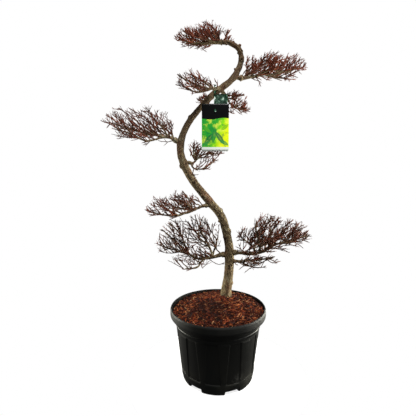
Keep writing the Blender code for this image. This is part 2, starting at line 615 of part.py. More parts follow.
def grow_shoots(skeleton, leads, blocked):
    """Ends one shoot at each lead. It forks where the way is short and the turn is gentle."""
    reach = [min(np.linalg.norm(lead - point) for point in skeleton.points) for lead in leads]
    for lead in leads[np.argsort(reach)]:
        points = np.array(skeleton.points)
        headings = np.array([skeleton.heading(node) for node in range(len(points))])
        way = lead - points
        length = np.linalg.norm(way, axis=1)
        turn = np.einsum("ij,ij->i", way, headings) / np.maximum(length, 1e-6)
        sharpest = np.where(np.array(skeleton.limbs) < 0, SHOOT_TURN, LIMB_TURN)
        finish = way * (1 + SHOOT_HOLD) - headings * length[:, None] * SHOOT_HOLD
        finish /= np.maximum(np.linalg.norm(finish, axis=1), 1e-6)[:, None]
        rise = finish @ rising(lead, points[0])
        cost = length * (1 + SHOOT_EASE * (1 - turn) + SHOOT_RISE * (1 - rise))
        cost[(turn < sharpest) | (length < SHOOT_SHORTEST)] = 9.0
        cost[0] = 9.0
        for node in np.argsort(cost)[:8]:
            if cost[node] > 8.0:
                break
            # The shoot leaves along its parent's heading and curves towards the lead.
            pieces = max(1, round(length[node] / SHOOT_STEP))
            middle = points[node] + 0.5 * (way[node] * (1 - SHOOT_HOLD)
                                           + headings[node] * length[node] * SHOOT_HOLD)
            shares = np.arange(1, pieces + 1)[:, None] / pieces
            route = ((1 - shares) ** 2 * points[node] + 2 * shares * (1 - shares) * middle
                     + shares ** 2 * lead)
            away = np.linalg.norm(route[:, None] - blocked[None, :, :3], axis=2)
            if (away < blocked[:, 3]).any():
                continue
            for spot in route:
                node = skeleton.add(spot, node, -1)
            break


def thicken(skeleton):
    """Gives each shoot its radius, from its tips down."""
    sums = np.zeros(len(skeleton.points))
    for node in range(len(skeleton.points) - 1, -1, -1):
        if skeleton.limbs[node] >= 0:
            continue
        sums[node] = max(sums[node], TWIG_TIP ** TWIG_POWER)
        skeleton.radii[node] = sums[node] ** (1 / TWIG_POWER)
        sums[skeleton.parents[node]] += sums[node]


def stems_of(skeleton):
    """Splits the skeleton into stems: each is a list of points from its root to its tip."""
    branches = {}
    for node, parent in enumerate(skeleton.parents):
        branches.setdefault(parent, []).append(node)
    stems, roots = [], [0]
    while roots:
        stem = [roots.pop(0)]
        while True:
            here = branches.get(stem[-1], [])
            limb = skeleton.limbs[stem[-1]]
            same = [n for n in here if skeleton.limbs[n] == limb]
            onward = max(same, key=lambda n: skeleton.radii[n]) if same else None
            roots += [n for n in here if n != onward]
            if onward is None:
                break
            stem.append(onward)
        stems.append(stem)
    forks = {node for node, grown in branches.items() if len(grown) > 1}
    return stems, forks


def straighten(points, fixed):
    """Indices of the points that a stem needs, keeping the fixed ones."""
    kept = [0]
    last = len(points) - 1
    while kept[-1] < last:
        start = kept[-1]
        end = start + 1
        while end < last and end not in fixed:
            chord = points[end + 1] - points[start]
            chord = chord / np.linalg.norm(chord)
            between = points[start + 1:end + 1] - points[start]
            bends = np.linalg.norm(between - np.outer(between @ chord, chord), axis=1)
            if bends.max() > TWIG_BEND:
                break
            end += 1
        kept.append(end)
    return kept


def make_spray(name, pad, material, blocked):
    """One pad: its limbs and all its shoots in one body. Also gives what it blocks."""
    skeleton = lay_limbs(pad)
    grow_shoots(skeleton, draw_leads(pad), blocked)
    thicken(skeleton)
    stems, forks = stems_of(skeleton)
    pieces = []
    for number, stem in enumerate(stems):
        limb = skeleton.limbs[stem[0]]
        parent = skeleton.parents[stem[0]]
        nodes = ([parent] if parent >= 0 else []) + stem
        points = np.array([skeleton.points[n] for n in nodes])
        radii = np.array([skeleton.radii[n] for n in nodes])
        if parent >= 0:
            radii[0] = min(radii[1] * 1.1, radii[0] * 0.75)
        if limb < 0:
            # Three sides enclose less than a circle, so their corners stand further out.
            kept = straighten(points, {i for i, n in enumerate(nodes) if n in forks})
            points, radii = points[kept], radii[kept] * 1.35
        sides = TWIG_SIDES if limb < 0 else LIMB_SIDES if limb == 0 else 4
        mesh = tube_mesh("stem", points, radii, sides, pointed=limb < 0)
        pieces.append(add_object("%s_stem_%d" % (name, number), mesh))
    spots = []
    for node, parent in enumerate(skeleton.parents[1:], 1):
        for share in (0.5, 1.0):
            spot = skeleton.points[parent] * (1 - share) + skeleton.points[node] * share
            spots.append((*spot, SHOOT_CLEARANCE))
    return fuse(name, pieces, material, solver='MANIFOLD'), np.vstack([blocked, spots])


def tag_outline(depth):
    """Points where growing shoots would touch the label or its strap."""
    spots = []
    for i in range(7):
        for k in range(11):
            spots.append((TAG_CENTRE[0] + TAG_SIZE[0] * (i / 6 - 0.5), TAG_CENTRE[1],
                          TAG_CENTRE[2] + TAG_SIZE[2] * (k / 10 - 0.5), depth))
    spots += [(TAG_SLOT[0], y, z, depth) for y, z in STRAP_RING]
    for i in range(4):
        for k in range(4):
            spots.append((TONGUE_CENTRE[0] + TONGUE_SIZE[0] * (i / 3 - 0.5), TONGUE_CENTRE[1],
                          TONGUE_CENTRE[2] + TONGUE_SIZE[2] * (k / 3 - 0.5), depth))
    return spots


def block(name, centre, size):
    """A box with its middle at the centre."""
    bm = bmesh.new()
    bmesh.ops.create_cube(bm, size=1.0)
    bmesh.ops.scale(bm, vec=size, verts=bm.verts)
    bmesh.ops.translate(bm, vec=centre, verts=bm.verts)
    mesh = bpy.data.meshes.new(name)
    bm.to_mesh(mesh)
    bm.free()
    return add_object(name, mesh)


def make_tag(material):
    """The label card, with rounded corners and the slot that its strap is fixed in."""
    card = block("card_blank", TAG_CENTRE, TAG_SIZE)
    bm = bmesh.new()
    bm.from_mesh(card.data)
    corners = [e for e in bm.edges
               if abs(e.verts[0].co.y - e.verts[1].co.y) > TAG_SIZE[1] / 2]
    bmesh.ops.bevel(bm, geom=corners, offset=TAG_CORNER, segments=3, affect='EDGES')
    bm.to_mesh(card.data)
    bm.free()
    slot = block("slot", (TAG_SLOT[0], TAG_CENTRE[1], TAG_SLOT[1]),
                 (TAG_SLOT_SIZE[0], 0.01, TAG_SLOT_SIZE[1]))
    return fuse("tag_card", [card, slot], material, 'DIFFERENCE')


def make_strap(material):
    """The strap round the trunk, its tongue beside it and the stud in the card's slot."""
    path = smooth_path([(TAG_SLOT[0], y, z) for y, z in STRAP_RING + STRAP_RING[:1]], 0.008)[:-1]

    def build(bm):
        rings = []
        for i, point in enumerate(path):
            along = Vector(path[(i + 1) % len(path)] - path[i - 1]).normalized()
            side = Vector((1.0, 0.0, 0.0))
            out = along.cross(side) * STRAP_THICK / 2
            side *= STRAP_WIDTH / 2
            rings.append([bm.verts.new(Vector(point) + corner)
                          for corner in (side + out, side - out, -side - out, -side + out)])
        for low, high in zip(rings, rings[1:] + rings[:1]):
            for k in range(4):
                bm.faces.new((low[k], low[(k + 1) % 4], high[(k + 1) % 4], high[k]))
    ring = add_object("strap_ring", mesh_from("strap_ring", build))
    tongue = block("tongue", TONGUE_CENTRE, TONGUE_SIZE)
    stud = block("stud", (TAG_SLOT[0], TAG_CENTRE[1] + 0.0005, TAG_SLOT[1]),
                 (TAG_SLOT_SIZE[0] - 2 * GAP, 0.006, TAG_SLOT_SIZE[1] - 2 * GAP))
    return fuse("tag_strap", [ring, tongue, stud], material)


def make_bonsai():
    """All the pieces, from the container up."""
    clear_scene()
    make_pot(finish_material("black_plastic", (0.018, 0.019, 0.018), 0.42))
    make_soil(finish_material("potting_mix", (0.045, 0.028, 0.020), 0.95))
    make_mulch(finish_material("bark_chips", (0.200, 0.058, 0.026), 0.85))
    make_trunk(finish_material("trunk_bark", (0.170, 0.130, 0.085), 0.80))
    twig_bark = finish_material("twig_bark", (0.145, 0.062, 0.040), 0.70)
    axis = trunk_axis(0.012)
    blocked = np.column_stack([axis[:, :3], axis[:, 3] + SHOOT_CLEARANCE])
    blocked = np.vstack([blocked, tag_outline(SHOOT_CLEARANCE + 0.004)])
    for name, pad in PADS.items():
        _, blocked = make_spray(name, pad, twig_bark.copy(), blocked)
    make_tag(finish_material("label_card", (0.330, 0.560, 0.030), 0.35))
    make_strap(finish_material("clear_plastic", (0.620, 0.720, 0.640), 0.15))


make_bonsai()
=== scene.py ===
import math

import bpy
import numpy as np
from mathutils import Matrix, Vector, noise


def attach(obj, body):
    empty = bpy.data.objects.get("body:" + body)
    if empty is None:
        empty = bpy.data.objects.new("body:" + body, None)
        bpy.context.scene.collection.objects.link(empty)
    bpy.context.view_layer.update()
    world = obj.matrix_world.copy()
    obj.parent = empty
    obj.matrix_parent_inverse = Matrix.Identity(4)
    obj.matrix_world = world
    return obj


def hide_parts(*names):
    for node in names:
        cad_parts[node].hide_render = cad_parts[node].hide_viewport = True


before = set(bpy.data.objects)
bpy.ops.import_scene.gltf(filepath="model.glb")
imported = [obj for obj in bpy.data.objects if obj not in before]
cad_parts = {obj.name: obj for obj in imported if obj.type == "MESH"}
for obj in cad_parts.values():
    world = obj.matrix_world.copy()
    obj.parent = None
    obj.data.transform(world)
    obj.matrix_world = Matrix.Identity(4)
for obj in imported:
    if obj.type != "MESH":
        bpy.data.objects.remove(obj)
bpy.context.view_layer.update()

# The container: a nursery pot moulded in one piece of black polyethylene. Its rim is rolled
# outwards, twelve flutes that widen downwards are pressed into its wall, and six notches lift
# the edge of the base so that water drains. Handling leaves it a little dusty and scuffed.
rim_radius, pot_height, rim_depth = 0.227, 0.3405, 0.038
neck_radius, foot_radius, wall_thickness, base_thickness = 0.2045, 0.1745, 0.003, 0.004
rim_inside, shelf_z = 0.2185, 0.3095
flute_count, flute_phase, flute_depth = 12, math.radians(21), 0.0042
flute_low, flute_high, flute_ramp = 0.050, 0.252, 0.007
flute_half, flute_close, flute_side = math.radians(11.2), math.radians(18), math.radians(1.5)
notch_height, notch_radius, wall_low, out_of_true = 0.016, 0.146, 0.034, 0.0004


class Flow:
    """A socket of a material, on which arithmetic adds Math nodes."""

    def __init__(self, finish, socket):
        self.finish, self.socket = finish, socket

    def maths(self, operation, *values):
        return self.finish.node("Math", {"operation": operation}, dict(enumerate(values)))

    def __add__(self, other):
        return self.maths("ADD", self, other)

    def __sub__(self, other):
        return self.maths("SUBTRACT", self, other)

    def __rsub__(self, other):
        return self.maths("SUBTRACT", other, self)

    def __mul__(self, other):
        return self.maths("MULTIPLY", self, other)

    def __truediv__(self, other):
        return self.maths("DIVIDE", self, other)

    def sine(self):
        return self.maths("SINE", self)

    def size(self):
        return self.maths("ABSOLUTE", self)

    __radd__, __rmul__ = __add__, __mul__


class Finish:
    """A Principled material built up from noise, ramps and arithmetic on their sockets."""

    def __init__(self, name, gloss=0.5, **shader_values):
        self.material = bpy.data.materials.new(name)
        self.material.use_nodes = True
        self.tree = self.material.node_tree
        self.shader = self.tree.nodes["Principled BSDF"]
        for key, value in shader_values.items():
            self.shader.inputs[key.replace("_", " ").title()].default_value = value
        self.shader.inputs["Specular IOR Level"].default_value = gloss
        self.place = self.node("TexCoord", output="Object")

    def node(self, kind, settings=None, values=None, output=0):
        """Adds a node of a type, makes its settings, then fills or links its sockets."""
        node = self.tree.nodes.new("ShaderNode" + kind)
        for key, value in (settings or {}).items():
            if key == "stops":
                ramp = node.color_ramp.elements
                for spare in list(ramp)[1:]:
                    ramp.remove(spare)
                ramp[0].position, ramp[0].color = value[0]
                for position, shade in value[1:]:
                    ramp.new(position).color = shade
            else:
                setattr(node, key, value)
        for key, value in (values or {}).items():
            if isinstance(value, Flow):
                self.tree.links.new(value.socket, node.inputs[key])
            else:
                node.inputs[key].default_value = value
        return Flow(self, node.outputs[output])

    def coordinate(self, name, vector=None):
        """One coordinate of a vector, or of the place on the object."""
        return self.node("SeparateXYZ", None, {0: vector or self.place}, output=name)

    def mark(self, name, output="Fac"):
        """A value that is stored at the points of the mesh."""
        return self.node("Attribute", {"attribute_name": name}, output=output)

    def distance(self, spot):
        """How far the place on the object is from a spot."""
        return self.node("VectorMath", {"operation": "DISTANCE"}, {0: self.place, 1: spot},
                         output="Value")

    def grain(self, scale, detail=3.0, rough=0.55, place=None, stretch=(1.0, 1.0, 1.0)):
        """Noise of a given scale, from 0 to 1, on stretched coordinates."""
        spot = self.node("VectorMath", {"operation": "MULTIPLY"},
                         {0: place or self.place, 1: stretch})
        return self.node("TexNoise", None, {"Vector": spot, "Scale": scale, "Detail": detail,
                                            "Roughness": rough})

    def band(self, value, low, high):
        """0 below the low value, 1 above the high one, and smooth between them."""
        return self.node("MapRange", {"interpolation_type": "SMOOTHSTEP"},
                         {"Value": value, "From Min": low, "From Max": high})

    def blend(self, share, first, second):
        """A colour between two colours."""
        return self.node("Mix", {"data_type": "RGBA"},
                         {0: share, 6: first, 7: second}, output=2)

    def ramp(self, value, *stops):
        """A colour read from stops of (position, colour)."""
        return self.node("ValToRGB", {"stops": stops}, {0: value})

    def relief(self, height, distance, strength=1.0):
        """A bump of a height field."""
        return self.node("Bump", None,
                         {"Height": height, "Distance": distance, "Strength": strength})

    def feed(self, **flows):
        """Links flows to the shader's sockets, and gives the material."""
        for key, flow in flows.items():
            self.tree.links.new(flow.socket, self.shader.inputs[key.replace("_", " ").title()])
        return self.material


def colour(red, green, blue):
    """A colour given by its screen values, from 0 to 255, as the shader's linear ones."""
    linear = [((c / 255 + 0.055) / 1.055) ** 2.4 if c > 10 else c / 255 / 12.92
              for c in (red, green, blue)]
    return (*linear, 1.0)


def smooth_share(value, low, high):
    """0 at the low value, 1 at the high one, and smooth between, on arrays or numbers."""
    share = np.clip((value - low) / (high - low), 0.0, 1.0)
    return share * share * (3 - 2 * share)


def unit(rows):
    """A vector, or each of an array's rows, at a length of 1."""
    length = np.linalg.norm(rows) if rows.ndim == 1 else np.linalg.norm(rows, axis=1)[:, None]
    return rows / np.maximum(length, 1e-9)


def ring_faces(rings, sides):
    """The faces between rings of points that follow each other."""
    return [(low + k, low + (k + 1) % sides, low + sides + (k + 1) % sides, low + sides + k)
            for low in range(0, (rings - 1) * sides, sides) for k in range(sides)]


def add_piece(name, points, faces, finish, replaced=(), smooth=True, sharp=None):
    """A named mesh with its finish, riding on the part and standing for CAD nodes."""
    mesh = bpy.data.meshes.new(name)
    mesh.from_pydata([tuple(p) for p in np.asarray(points, float)], [], faces)
    mesh.update()
    if smooth:
        mesh.shade_smooth()
        if sharp:
            mesh.set_sharp_from_angle(angle=math.radians(sharp))
    mesh.materials.append(finish)
    piece = bpy.data.objects.new(name, mesh)
    bpy.context.scene.collection.objects.link(piece)
    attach(piece, "root")
    if replaced:
        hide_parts(*replaced)
    return piece


def rounded(corners):
    """An outline through corners of (radius, z, rounding), with an arc at each rounded one."""
    corners = [np.array(c, float) for c in corners]
    outline = []
    for before, here, after in zip([corners[0]] + corners, corners, corners[1:] + [corners[-1]]):
        if here[2] == 0:
            outline.append(here[:2])
            continue
        back, on = before[:2] - here[:2], after[:2] - here[:2]
        start, end = here[:2] + unit(back) * here[2], here[:2] + unit(on) * here[2]
        for t in np.linspace(0, 1, 6):
            outline.append((1 - t) ** 2 * start + 2 * t * (1 - t) * here[:2] + t ** 2 * end)
    return np.array(outline)


def wall_radius(z):
    """The outside radius of the plain wall at a height."""
    slope = (neck_radius - foot_radius) / (pot_height - rim_depth - wall_low)
    return foot_radius + slope * (z - wall_low)


def make_container():
    """The wall, base and rim: an outline turned round, with flutes pressed in and notches cut."""
    rim_z = pot_height - rim_depth
    shares = (0.0, 0.25, 0.5, 0.75, 1.0)
    flute_rows = [*(flute_low + share * flute_ramp for share in shares), 0.10, 0.14, 0.18,
                  *(flute_high - share * flute_ramp for share in reversed(shares))]
    outside = [(0.0, 0.0, 0), (0.08, 0.0, 0), (0.120, 0.0, 0), (notch_radius - 0.001, 0.0, 0),
               (notch_radius, 0.0001, 0), (0.155, 0.0, 0), (0.163, 0.0, 0.002),
               (0.169, 0.0045, 0.004)]
    outside += [(wall_radius(z), z, 0) for z in [0.024, wall_low] + flute_rows]
    # A narrow bead runs round under the rim.
    outside += [(wall_radius(0.2615), 0.2615, 0.0010), (wall_radius(0.263) + 0.002, 0.2635, 0.0012),
                (wall_radius(0.270) + 0.002, 0.270, 0.001),
                (wall_radius(0.272) + 0.0006, 0.2715, 0.0008),
                (wall_radius(rim_z), rim_z - 0.004, 0.003), (rim_radius - 0.003, rim_z, 0.0018),
                (rim_radius, rim_z + 0.006, 0.003), (rim_radius + 0.0002, rim_z + 0.020, 0),
                (rim_radius, pot_height - 0.008, 0.002), (rim_radius - 0.0035, pot_height, 0.0030)]
    inside = [(rim_inside + 0.0015, pot_height - 0.0005, 0.0025), (rim_inside, shelf_z + 0.012, 0),
              (rim_inside, shelf_z, 0.001), (neck_radius - wall_thickness, shelf_z - 0.002, 0),
              (foot_radius - wall_thickness, wall_low, 0), (0.163, base_thickness, 0.002),
              (notch_radius - wall_thickness, base_thickness, 0), (0.0, base_thickness, 0)]
    profile = rounded(outside + inside)
    pitch = 2 * math.pi / flute_count
    points = []
    for radius, z in profile:
        # The columns of the mesh follow the sides of the flutes, which lean apart downwards.
        half = flute_half - flute_close * min(z, flute_high)
        marks = [-pitch / 2, -half - flute_side, -half, half, half + flute_side, pitch / 2]
        off = np.concatenate([np.linspace(low, high, count, endpoint=False)
                              for low, high, count in zip(marks, marks[1:], (6, 3, 10, 3, 6))])
        pressed = np.tile(1 - smooth_share(np.abs(off), half, half + flute_side), flute_count)
        azimuth = (np.arange(flute_count)[:, None] * pitch + off + flute_phase).reshape(-1)
        notched = pressed * np.tile([1.0, 0.0], flute_count // 2).repeat(len(off))
        hug = smooth_share(min(z - flute_low, flute_high - z), 0.0, flute_ramp)
        depth = flute_depth * hug * (radius > notch_radius + 0.02)
        under = z < base_thickness / 2
        lifts = radius > notch_radius - 0.0005 - (0 if under else wall_thickness)
        lift = notch_height * (lifts and z < wall_low) * (1 - z / wall_low)
        # The mould leaves the wall very slightly out of true.
        swell = out_of_true * np.sin(3 * azimuth + 1.0) * (radius > 0.16) * min(1.0, z / 0.1)
        r = radius - depth * pressed + swell
        points.append(np.column_stack([r * np.sin(azimuth), -r * np.cos(azimuth),
                                       z + lift * notched]))
    piece = add_piece("container_wall", np.vstack(points), ring_faces(len(points), len(points[0])),
                      plastic, ["pot"], sharp=32)
    piece.modifiers.new("Weld", 'WELD').merge_threshold = 0.00001


black = Finish("black_polyethylene", gloss=0.18, roughness=0.40)
patchy = black.grain(9.0, 4.0, 0.6)
streaky = black.grain(26.0, 3.0, 0.6, stretch=(1.0, 1.0, 0.12))
height = black.coordinate("Z")
# Dust clings to the lower wall and to the top of the rim.
dust = (1 - black.band(height, 0.02, 0.20)) * black.band(patchy, 0.42, 0.70)
dust = dust + black.band(height, 0.300, 0.345) * black.band(streaky, 0.40, 0.75) * 0.6
scuff = 1 - black.band(black.distance((0.080, -0.158, 0.075)), 0.008, 0.034)
scuff = scuff * black.band(black.grain(75.0, 4.0), 0.46, 0.62)
base = black.blend(streaky, colour(4, 5, 4), colour(12, 12, 9))
base = black.blend(dust * 0.05, base, colour(92, 88, 72))
base = black.blend(scuff * 0.10, base, colour(150, 150, 142))
# The narrow ledges over and under the flutes are dull, where dust has settled on them, and the
# rolled rim is dulled by handling.
ledge = black.band(height, 0.243, 0.246) * (1 - black.band(height, 0.252, 0.255))
ledge = ledge + black.band(height, 0.046, 0.049) * (1 - black.band(height, 0.058, 0.061))
rolled = black.band(height, 0.296, 0.304)
pimples = black.grain(620.0, 2.0)
plastic = black.feed(
    base_color=base,
    roughness=0.34 + patchy * 0.16 + dust * 0.18 + ledge * 0.3 + rolled * 0.22,
    normal=black.relief(pimples + streaky * 0.6, 0.0004, 0.35))
make_container()

# The potting mix fills the container under the bark. It is dark peat with fine bark in it, and
# nothing of it shows while the mulch covers it. Its own solid stays, with a crumbly finish.
peat = Finish("peat_mix", roughness=0.95)
crumb = peat.grain(160.0, 5.0, 0.7)
soil_finish = peat.feed(base_color=peat.blend(crumb, colour(26, 18, 12), colour(74, 52, 36)),
                        normal=peat.relief(crumb, 0.003))
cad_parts["soil"].data.materials.clear()
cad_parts["soil"].data.materials.append(soil_finish)

# The mulch: shredded bark, spread by hand over the mix and mounded round the trunk. Its chips
# and splinters lie loose at every angle, from orange-brown to almost black where damp.
mulch_radius, mulch_edge_z, mulch_crown_z, mulch_crown = 0.2160, 0.3155, 0.3660, (0.030, 0.050)
bed_rings, bed_columns, bed_bottom = 46, 150, 0.3112
chip_count, splinter_count, chip_limit = 3100, 900, 0.2100


def mound_z(x, y):
    """The height of the mulch at a place, without its chips."""
    away = np.hypot(x - mulch_crown[0], y - mulch_crown[1]) / (mulch_radius * 1.15)
    return mulch_edge_z + np.maximum(0.0, 1 - away) ** 1.2 * (mulch_crown_z - mulch_edge_z)


def make_mulch_bed():
    """The body of the mulch: a rough mound that reaches down to the mix, under the loose chips."""
    points = []
    for ring in range(bed_rings + 1):
        radius = mulch_radius * ring / bed_rings
        for k in range(bed_columns):
            turn = 2 * math.pi * k / bed_columns
            x, y = radius * math.sin(turn), -radius * math.cos(turn)
            rough = noise.fractal(Vector((x, y, 0.0)) * 70, 0.8, 2.0, 3) * 0.0035
            points.append((x, y, mound_z(x, y) + rough * min(1.0, (mulch_radius - radius) / 0.01)
                           - 0.001))
    points += [(x, y, bed_bottom) for x, y, _ in points[-bed_columns:]]
    faces = [(a, d, c, b) for a, b, c, d in ring_faces(bed_rings + 2, bed_columns)]
    faces.append(list(range(len(points) - bed_columns, len(points))))
    add_piece("mulch_bed", points, faces, bed_finish, ["bark_mulch"])


def mark_points(piece, name, values):
    """Stores a number or a vector at each point of the mesh, for its finish to read."""
    kind, key = ('FLOAT', "value") if values.ndim == 1 else ('FLOAT_VECTOR', "vector")
    stored = piece.data.attributes.new(name, kind, 'POINT')
    stored.data.foreach_set(key, values.reshape(-1).astype(np.float32))


class Bundle:
    """Collects many small bodies for one mesh, with a tone and a girth at each point."""

    def __init__(self):
        self.points, self.faces, self.tones, self.girths, self.count = [], [], [], [], 0

    def add(self, points, faces, tone, girth=0.0):
        """Adds a body, whose faces count its own points from 0."""
        self.points.append(points)
        self.faces += [tuple(i + self.count for i in face) for face in faces]
        self.tones.append(np.full(len(points), tone))
        self.girths.append(np.broadcast_to(np.asarray(girth, float), (len(points),)))
        self.count += len(points)

    def piece(self, name, finish, slot, replaced=(), smooth=True, sharp=None):
        """Makes one piece of all the bodies, and marks its points with their tone and girth."""
        body = add_piece(name, np.vstack(self.points), self.faces, finish, replaced,
                         smooth, sharp)
        mark_points(body, "tone", np.concatenate(self.tones))
        mark_points(body, "girth", np.concatenate(self.girths))


def chip_body(rng, length, width, thickness):
    """A flake with a torn six-sided outline, thin at its ends and bent a little."""
    turns = np.radians([0, 38, 142, 180, 218, 322]) + rng.uniform(-0.25, 0.25, 6)
    outline = np.column_stack([np.cos(turns) * length / 2, np.sin(turns) * width / 2])
    outline *= rng.uniform(0.75, 1.12, (6, 1))
    bend = rng.uniform(-0.18, 0.18) * (outline[:, 0] ** 2) / length
    lift = thickness / 2 * rng.uniform(0.5, 1.0, 6)
    top = np.column_stack([outline * 0.9, bend + lift])
    bottom = np.column_stack([outline, bend - lift])
    faces = [(0, 1, 2, 3, 4, 5), (11, 10, 9, 8, 7, 6)]
    faces += [(6 + k, 6 + (k + 1) % 6, (k + 1) % 6, k) for k in range(6)]
    return np.vstack([top, bottom]), faces


def turn_about(axis, angle):
    """The matrix of a turn about the X, Y or Z axis, which is 0, 1 or 2."""
    first, second = (axis + 1) % 3, (axis + 2) % 3
    matrix = np.eye(3)
    matrix[first, first] = matrix[second, second] = math.cos(angle)
    matrix[second, first], matrix[first, second] = math.sin(angle), -math.sin(angle)
    return matrix


def lay_chips():
    """Strews chips, and then splinters, evenly over the mound at every angle."""
    rng = np.random.default_rng(23)
    bundle = Bundle()
    for number in range(chip_count + splinter_count):
        radius = chip_limit * math.sqrt(rng.uniform(0, 1))
        turn = rng.uniform(0, 2 * math.pi)
        x, y = radius * math.cos(turn), radius * math.sin(turn)
        splinter = number >= chip_count
        length = rng.uniform(0.016, 0.042) if splinter else 0.009 + 0.030 * rng.beta(1.6, 3.2)
        width = rng.uniform(0.0010, 0.0022) if splinter else length * rng.uniform(0.15, 0.42)
        thick = rng.uniform(0.0008, 0.0016) if splinter else rng.uniform(0.0012, 0.0034)
        points, faces = chip_body(rng, length, width, thick)
        tilt, roll, yaw = rng.normal(0, 0.30), rng.normal(0, 0.35), rng.uniform(0, 2 * math.pi)
        points = points @ (turn_about(2, yaw) @ turn_about(1, tilt) @ turn_about(0, roll)).T
        points += (x, y, mound_z(x, y) + rng.uniform(-0.0005, 0.0060))
        # Whatever would poke through the rim is pushed back to lie against it.
        reach = np.hypot(points[:, 0], points[:, 1])
        points[:, :2] *= np.minimum(1.0, (rim_inside - 0.001) / reach)[:, None]
        bundle.add(points, faces, rng.uniform(0, 1))
    bundle.piece("mulch_chips", chip_finish, "mulch", smooth=False)


bed = Finish("mulch_dust", gloss=0.1, roughness=0.95)
bed_finish = bed.feed(
    base_color=bed.ramp(bed.grain(110.0, 5.0, 0.7), (0.3, colour(12, 5, 3)),
                        (0.55, colour(48, 18, 10)), (0.75, colour(84, 38, 20))),
    normal=bed.relief(bed.grain(240.0, 4.0, 0.7), 0.003))
bark = Finish("bark_chips", gloss=0.12, roughness=0.82)
fibre = bark.grain(300.0, 4.0, 0.6)
chip_colour = bark.ramp(bark.mark("tone"), (0.0, colour(12, 5, 4)), (0.25, colour(34, 12, 8)),
                        (0.52, colour(80, 30, 15)), (0.76, colour(126, 54, 25)),
                        (0.93, colour(160, 86, 42)), (0.985, colour(190, 140, 96)))
chip_colour = bark.blend(bark.band(fibre, 0.35, 0.65) * 0.55, chip_colour, colour(22, 8, 5))
# The bark is damp and almost black in front of the stem, and in patches elsewhere.
damp = (1 - bark.band(bark.distance((-0.030, -0.045, 0.335)), 0.030, 0.120)) * 0.55
damp = damp + bark.band(bark.grain(13.0, 3.0), 0.48, 0.66) * 0.45
chip_colour = bark.blend(damp, chip_colour, colour(20, 8, 5))
chip_finish = bark.feed(base_color=chip_colour, roughness=0.62 + fibre * 0.3,
                        normal=bark.relief(fibre, 0.0012, 0.8))
make_mulch_bed()
lay_chips()

# The trunk: one living stem that was wired into an S curve while young. Its bark is grey-brown
# and finely fissured lengthwise, with swollen collars at the limbs and knots at pruned ones.


def in_metres(sizes):
    """A size in millimetres, or a nest of rows of them, in metres."""
    if isinstance(sizes, (list, tuple)):
        return type(sizes)(in_metres(size) for size in sizes)
    return round(sizes / 1000, 7)


# The middle of the stem from its foot to its tip, each point with the stem's radius there.
trunk_course = in_metres([((38, 72, 235), 25), ((41, 71, 310), 26.2), ((44, 70, 374), 26.5),
                          ((50, 67, 440), 24), ((57, 63, 530), 22.2), ((52, 52, 635), 20.5),
                          ((19, 34, 760), 20), ((-45, 18, 845), 19.2), ((-103, 2, 918), 18.1),
                          ((-152, -14, 998), 18.6), ((-172, -24, 1080), 16.5),
                          ((-150, -24, 1168), 14.2), ((-92, -13, 1250), 13.9),
                          ((-20, 1, 1327), 14.2), ((57, 12, 1388), 14), ((96, 16, 1455), 12.4),
                          ((92, 10, 1515), 11.8), ((49, 0, 1542), 10.6), ((14, -7, 1543), 9.6)])
trunk_sides, trunk_step = 56, 0.0032
lump_height, fissure_depth, plate_height, collar_swell = 0.0021, 0.0011, 0.0009, 0.55
# Knots and the stubs of pruned shoots: where on the axis, which way they face, how wide they
# are, how far they stand out and how deep their middles are sunk, in millimetres.
knots = [
    ((98, 16, 1474), (0.3, -1.0, 0.2), 8.5, 4.2, 11),
    ((96, 14, 1505), (0.5, -0.9, 0.4), 7.5, 4.2, 10.5),
    ((97, 15, 1478), (1.0, -0.2, 0.0), 17, 3.4, 0.4),
    ((90, 6, 1534), (0.7, -0.3, 0.7), 6.2, 10.5, 3),
    ((94, 12, 1500), (-1.0, -0.2, 0.1), 5, 5, 1),
    ((75, 10, 1435), (-0.9, -0.3, 0.3), 5.2, 8, 1),
    ((66, 1, 1541), (0.1, -0.3, 1.0), 4.5, 6, 1),
    ((34, -4, 1543), (-0.1, -0.4, -1.0), 4.4, 6.2, 1),
    ((20, 6, 1368), (0.5, -0.6, -0.6), 6, 4, 2),
    ((-118, -18, 1212), (-0.8, -0.3, 0.5), 7, 4.5, 1),
    ((-152, -14, 998), (-1.0, -0.3, 0.2), 11, 6.5, 2.2),
    ((-128, -6, 958), (0.9, -0.3, 0.3), 6, 5, 1),
    ((-55, 14, 860), (-0.6, -0.7, 0.2), 15, 3.8, 1.2),
    ((0, 28, 790), (0.9, -0.3, 0.5), 11, 4.2, 2.2),
    ((22, 35, 748), (-0.9, -0.5, -0.2), 7, 7.8, 1.2),
    ((40, 44, 692), (1.0, -0.3, 0.3), 12, 4.6, 1),
    ((43, 48, 672), (-0.7, -0.6, -0.3), 10.5, 4.2, 2.2),
    ((56, 64, 520), (-0.2, -1.0, 0.1), 9.5, 4.2, 9.5),
    ((47, 68, 425), (1.0, -0.4, 0.2), 10, 4.2, 2.2)]
# Where the limbs leave the trunk's axis, which way, and how thick they are.
limb_roots = in_metres([((69, 13, 1398), (51, 8, 1), 7.6), ((6, 5, 1348), (-12, -41, -8), 6.6),
                        ((6, 5, 1348), (24, 31, -17), 5.5), ((-48, -4, 1299), (-12, 34, -1), 4),
                        ((-172, -26, 1105), (-43, -10, 23), 8),
                        ((-160, -19, 1024), (42, 5, -8), 5), ((-24, 25, 826), (-54, -19, -8), 6.8),
                        ((56, 58, 582), (-46, 16, -14), 10), ((56, 58, 586), (54, -16, 2), 8.8),
                        ((57, 62, 541), (43, -16, 4), 6)])


